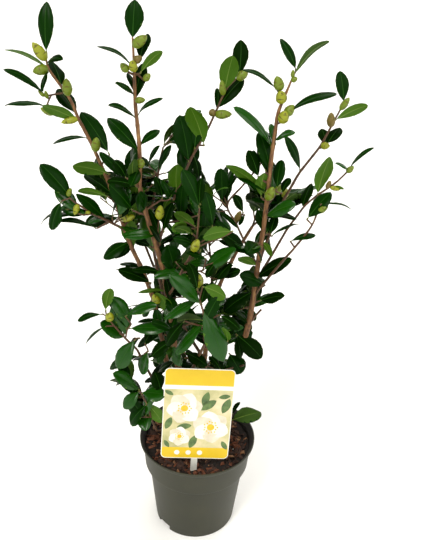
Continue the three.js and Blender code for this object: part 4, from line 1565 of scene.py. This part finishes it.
def add_disc(shape, radius, depth, sides, middle):
    """A flat round block; its sizes are in millimetres and its middle in metres."""
    bmesh.ops.create_cone(shape, cap_ends=True, segments=sides, radius1=radius * MM, radius2=radius * MM,
                          depth=depth * MM, matrix=Matrix.Translation(middle))


def make_pot_floor():
    """The flat underside with its drainage holes, inside the ring that the wall ends in."""
    shape = bmesh.new()
    add_disc(shape, FLOOR_RADIUS, POT_FLOOR, POT_SIDES, (0, 0, POT_FLOOR / 2 * MM))
    floor = in_scene("pot_floor", mesh_of(shape, "pot_floor", [POT_PLASTIC]))
    shape = bmesh.new()
    for angle in ring_angles(DRAIN_COUNT):
        middle = Vector((math.cos(angle), math.sin(angle), 0)) * DRAIN_CIRCLE * MM
        add_disc(shape, DRAIN_RADIUS, 5 * POT_FLOOR, DRAIN_SIDES, middle)
    cutter = in_scene("drain_cutter", mesh_of(shape, "drain_cutter", []))
    cut = floor.modifiers.new("drains", "BOOLEAN")
    cut.object = cutter
    cut.operation = "DIFFERENCE"
    bpy.context.view_layer.update()
    result = bpy.data.meshes.new_from_object(floor.evaluated_get(bpy.context.evaluated_depsgraph_get()))
    floor.modifiers.clear()
    floor.data = result
    bpy.data.objects.remove(cutter)
    finished(floor, ["pot"])


# Soil


def soil_height(x, y):
    """The soil's surface at a place, in millimetres."""
    lump = sum(noise.noise(Vector((x / apart, y / apart, layer))) * height
               for apart, layer, height in SOIL_LUMPS)
    return SOIL_LEVEL + SOIL_RELIEF * lump


def make_soil():
    """One body of soil: rings of its lumpy surface from the middle out, then down inside the wall."""
    points = []
    for i in range(SOIL_RINGS):
        out = SOIL_RADIUS * (i + SOIL_MIDDLE) / (SOIL_RINGS - 1 + SOIL_MIDDLE)
        for angle in ring_angles(SOIL_SIDES):
            x, y = out * math.cos(angle), out * math.sin(angle)
            points.append((x * MM, y * MM, soil_height(x, y) * MM))
    below = [
        (SOIL_RADIUS, SOIL_LEVEL - 3),
        (COLLAR_FOOT_RADIUS - SOIL_GAP, STEP_HEIGHT + 2),
        (BODY_TOP_RADIUS - SOIL_GAP, STEP_HEIGHT + 1),
        (BASE_RADIUS - SOIL_FOOT_GAP, SOIL_FOOT),
        (0.5, SOIL_FOOT),
    ]
    for out, up in below:
        for angle in ring_angles(SOIL_SIDES):
            points.append((out * math.cos(angle) * MM, out * math.sin(angle) * MM, up * MM))
    faces = grid_faces(SOIL_RINGS + len(below), SOIL_SIDES, closed=True, flip=True)
    faces.append(tuple(range(SOIL_SIDES)))
    gather = Gather()
    gather.add(points, faces, 0)
    gather.piece("potting_mix_body", [SOIL], "soil", ["potting_soil"])


def chip(at, size, turn, rough):
    """A shred of bark: the hull of a few points in a long flat box."""
    shape = bmesh.new()
    for _ in range(CHIP_CORNERS):
        corner = [rough.uniform(-0.5, 0.5) for _ in range(3)]
        longest = max(abs(c) for c in corner[:2])
        corner = Vector([c / max(longest, 0.15) * 0.5 * s for c, s in zip(corner, size)])
        shape.verts.new((turn @ corner) * MM + Vector(at) * MM)
    bmesh.ops.convex_hull(shape, input=shape.verts)
    loose = [v for v in shape.verts if not v.link_faces]
    bmesh.ops.delete(shape, geom=loose, context="VERTS")
    shape.verts.index_update()
    points = [tuple(v.co) for v in shape.verts]
    faces = [tuple(v.index for v in face.verts) for face in shape.faces]
    shape.free()
    return points, faces


def make_chips():
    """Chips of bark strewn on the soil, and a few grains of grit among them."""
    rough = random.Random(SEED + 2)
    gather = Gather()
    for i in range(CHIP_COUNT + GRIT_COUNT):
        out = math.sqrt(rough.random())
        angle = rough.uniform(0, 2 * math.pi)
        if i >= CHIP_COUNT:
            size = [rough.uniform(*GRIT_SIZES)] * 3
            slot = WHITE_GRIT
        else:
            length = rough.uniform(*CHIP_LENGTHS) * (1 if rough.random() < LONG_CHIPS else SHORT_CHIP)
            size = (length, length * rough.uniform(*CHIP_WIDTHS), rough.uniform(*CHIP_DEPTHS))
            slot = rough.choices((DARK_CHIP, RED_CHIP, TAN_CHIP), CHIP_SHARES)[0]
        out *= SOIL_RADIUS - CHIP_EDGE - size[0] / 2
        x, y = out * math.cos(angle), out * math.sin(angle)
        turn = Matrix.Rotation(rough.uniform(0, CHIP_TURN), 3, "Z")
        turn = turn @ Matrix.Rotation(rough.gauss(0, CHIP_PITCH), 3, "X")
        turn = turn @ Matrix.Rotation(rough.gauss(0, CHIP_ROLL), 3, "Y")
        height = soil_height(x, y) + rough.uniform(*CHIP_HEIGHTS)
        gather.add(*chip((x, y, height), size, turn, rough), slot)
    smooth_by_angle(gather.piece("bark_chips", CHIP_MATERIALS, "soil", ["potting_soil"]), CHIP_CRISP)


# Label


def label_place():
    """From the label's own flat drawing, X across and Z up from its foot, to its place in the pot."""
    turn = (Matrix.Rotation(math.radians(LABEL_ASIDE), 4, "Z")
            @ Matrix.Rotation(math.radians(-LABEL_BACK), 4, "X")
            @ Matrix.Rotation(math.radians(LABEL_LEAN), 4, "Y"))
    return Matrix.Translation(Vector(LABEL_FOOT) * MM) @ turn


def rounded_rectangle(left, low, right, high, radii=(0, 0, 0, 0)):
    """An outline with a corner radius each for low right, high right, high left and low left."""
    corners = [(right, low, -90), (right, high, 0), (left, high, 90), (left, low, 180)]
    inward = [(-1, 1), (-1, -1), (1, -1), (1, 1)]
    outline = []
    for (x, z, start), (dx, dz), radius in zip(corners, inward, radii):
        if not radius:
            outline.append((x, z))
            continue
        for i in range(CORNER_STEPS + 1):
            angle = math.radians(start + 90 * i / CORNER_STEPS)
            outline.append((x + dx * radius + radius * math.cos(angle),
                            z + dz * radius + radius * math.sin(angle)))
    return outline


def petal_outline(x, z, length, width, angle):
    """One rounded petal or small leaf that starts at a point."""
    outline = []
    for i in range(2 * PETAL_STEPS):
        t = i / PETAL_STEPS if i <= PETAL_STEPS else 2 - i / PETAL_STEPS
        side = 1 if i <= PETAL_STEPS else -1
        out = t * length
        half = side * width / 2 * math.sin(math.pi * t) ** PETAL_BLUNTNESS
        outline.append((x + out * math.cos(angle) - half * math.sin(angle),
                        z + out * math.sin(angle) + half * math.cos(angle)))
    return outline[::-1]


def disc_outline(x, z, radius, steps=20):
    """A disc about a point."""
    return [(x + radius * math.cos(angle), z + radius * math.sin(angle)) for angle in ring_angles(steps)]


def slab(gather, outline, front, back, slot):
    """A flat shape between two depths of the label's drawing; front is the side that shows."""
    count = len(outline)
    place = label_place()
    points = [place @ Vector((x * MM, -depth * MM, z * MM)) for depth in (front, back) for x, z in outline]
    faces = [tuple(range(count)), tuple(range(count, 2 * count))[::-1]]
    faces += [(i, count + i, count + (i + 1) % count, (i + 1) % count) for i in range(count)]
    gather.add([tuple(point) for point in points], faces, slot)


def print_shape(ink, outline, colour, layers=1):
    """A printed shape that many layers of ink above the card."""
    slab(ink, outline, CARD_FRONT + layers * PRINT_LAYER, CARD_FRONT, colour)


def print_blossom(ink, x, z, size, turn):
    """A plain blossom: two rings of round petals, a yellow middle and a ring of dots."""
    level = 3
    for ring, (count, reach) in enumerate(PETAL_RINGS):
        for k in range(count):
            angle = math.radians(turn + 360 * k / count + PETAL_SHIFT * ring)
            petal = petal_outline(x, z, size * reach, size * reach * PETAL_WIDTH, angle)
            print_shape(ink, petal, INK_PETAL if (k + ring) % 2 else INK_SHADE, level)
            level += 0.5
    print_shape(ink, disc_outline(x, z, size * BLOSSOM_MIDDLE), INK_GOLD, level + 1)
    for k, angle in enumerate(ring_angles(BLOSSOM_DOTS)):
        out = size * DOT_RINGS[k % 2]
        at = (x + out * math.cos(angle), z + out * math.sin(angle))
        dot = disc_outline(*at, size * DOT_SHARE, DOT_SIDES)
        print_shape(ink, dot, INK_GOLD if k % 2 else INK_YELLOW, level + 1)


def make_label():
    """The card on its pointed stake, and the print on its front."""
    half = LABEL_WIDTH / 2
    card = Gather()
    outline = rounded_rectangle(-half, 0, half, LABEL_HEIGHT, (LABEL_CORNER,) * 4)
    slab(card, outline, CARD_FRONT, -CARD_FRONT, 0)
    spike = STAKE_WIDTH / 2
    stake = [(-spike, 2), (-spike, -STAKE_LENGTH + spike), (0, -STAKE_LENGTH),
             (spike, -STAKE_LENGTH + spike), (spike, 2)]
    slab(card, stake, CARD_FRONT - STAKE_INSET, -CARD_FRONT + STAKE_INSET, 1)
    piece = card.piece("label_card_and_stake", CARD_MATERIALS, "label_card", ["plant_label"])
    smooth_by_angle(piece, LABEL_CRISP)

    left, right = -half + PRINT_EDGE, half - PRINT_EDGE
    corner = LABEL_CORNER - PRINT_EDGE
    header = rounded_rectangle(left, HEADER_FOOT, right, LABEL_HEIGHT - PRINT_EDGE, (0, corner, corner, 0))
    footer = rounded_rectangle(left, PRINT_EDGE, right, FOOTER_TOP, (corner, 0, 0, corner))
    ink = Gather()
    print_shape(ink, header, INK_YELLOW)
    print_shape(ink, rounded_rectangle(left, FOOTER_TOP, right, STRIPE_FOOT), INK_CREAM)
    print_shape(ink, footer, INK_YELLOW)
    for x, z, length, angle in PRINT_LEAVES:
        leaf = petal_outline(x, z, length, length * PRINT_LEAF_WIDTH, math.radians(angle))
        print_shape(ink, leaf, INK_LEAF, 2)
    for blossom in PRINT_BLOSSOMS:
        print_blossom(ink, *blossom)
    for x in FOOTER_DOTS:
        print_shape(ink, disc_outline(x, FOOTER_TOP / 2 + 0.5, DOT_RADIUS), INK_PETAL, 2)
    piece = ink.piece("label_print", INK_MATERIALS, "label_card", ["plant_label"])
    smooth_by_angle(piece, LABEL_CRISP)


# Floor, light and camera


def make_floor():
    """A pale floor under the pot, for the picture only."""
    mesh = bpy.data.meshes.new("floor")
    corners = [(-1, -1), (1, -1), (1, 1), (-1, 1)]
    mesh.from_pydata([(x * FLOOR_REACH, y * FLOOR_REACH, 0) for x, y in corners], [], [(0, 1, 2, 3)])
    mesh.materials.append(plain_material("floor_pale", (250, 250, 250), 0.9, specular=0.1))
    in_scene("floor", mesh)


def make_room():
    """The light of a room with white walls and a dim ceiling."""
    world = bpy.context.scene.world or bpy.data.worlds.new("studio")
    bpy.context.scene.world = world
    world.use_nodes = True
    tree = world.node_tree
    place = tree.nodes.new("ShaderNodeTexCoord")
    split = tree.nodes.new("ShaderNodeSeparateXYZ")
    ramp = tree.nodes.new("ShaderNodeValToRGB")
    low, high = ramp.color_ramp.elements
    low.position, low.color = WALL_TOP, WALL_COLOUR
    high.position, high.color = CEILING_FOOT, CEILING_COLOUR
    tree.links.new(place.outputs["Generated"], split.inputs["Vector"])
    tree.links.new(split.outputs["Z"], ramp.inputs["Fac"])
    tree.links.new(ramp.outputs["Color"], tree.nodes["Background"].inputs["Color"])


def make_lights():
    """Broad, even lights from each side, with colours shown as they are."""
    for name, (side, width, power) in LIGHTS.items():
        data = bpy.data.lights.new(name, "SUN")
        data.energy = power
        data.color = WARM_WHITE
        data.angle = math.radians(width)
        in_scene(name, data).rotation_euler = Vector(side).to_track_quat("Z", "Y").to_euler()
    bpy.context.scene.view_settings.view_transform = "Standard"


def make_camera():
    """The camera of the photograph: level first, then rolled about the way it looks."""
    pitch, yaw, roll = (math.radians(angle) for angle in (CAMERA_PITCH, CAMERA_YAW, CAMERA_ROLL))
    ahead = Vector((math.sin(yaw) * math.cos(pitch), math.cos(yaw) * math.cos(pitch), -math.sin(pitch)))
    level = ahead.cross(Vector((0, 0, 1))).normalized()
    upright = level.cross(ahead)
    across = level * math.cos(roll) + upright * math.sin(roll)
    up = upright * math.cos(roll) - level * math.sin(roll)
    data = bpy.data.cameras.new("camera")
    data.lens = CAMERA_LENS
    camera = in_scene("camera", data)
    camera.matrix_world = Matrix.Translation(Vector(EYE)) @ Matrix((across, up, -ahead)).transposed().to_4x4()
    bpy.context.scene.camera = camera


make_camera()
make_room()
make_lights()
make_floor()
make_pot()
make_soil()
make_chips()
make_label()
make_limbs()
make_foliage()
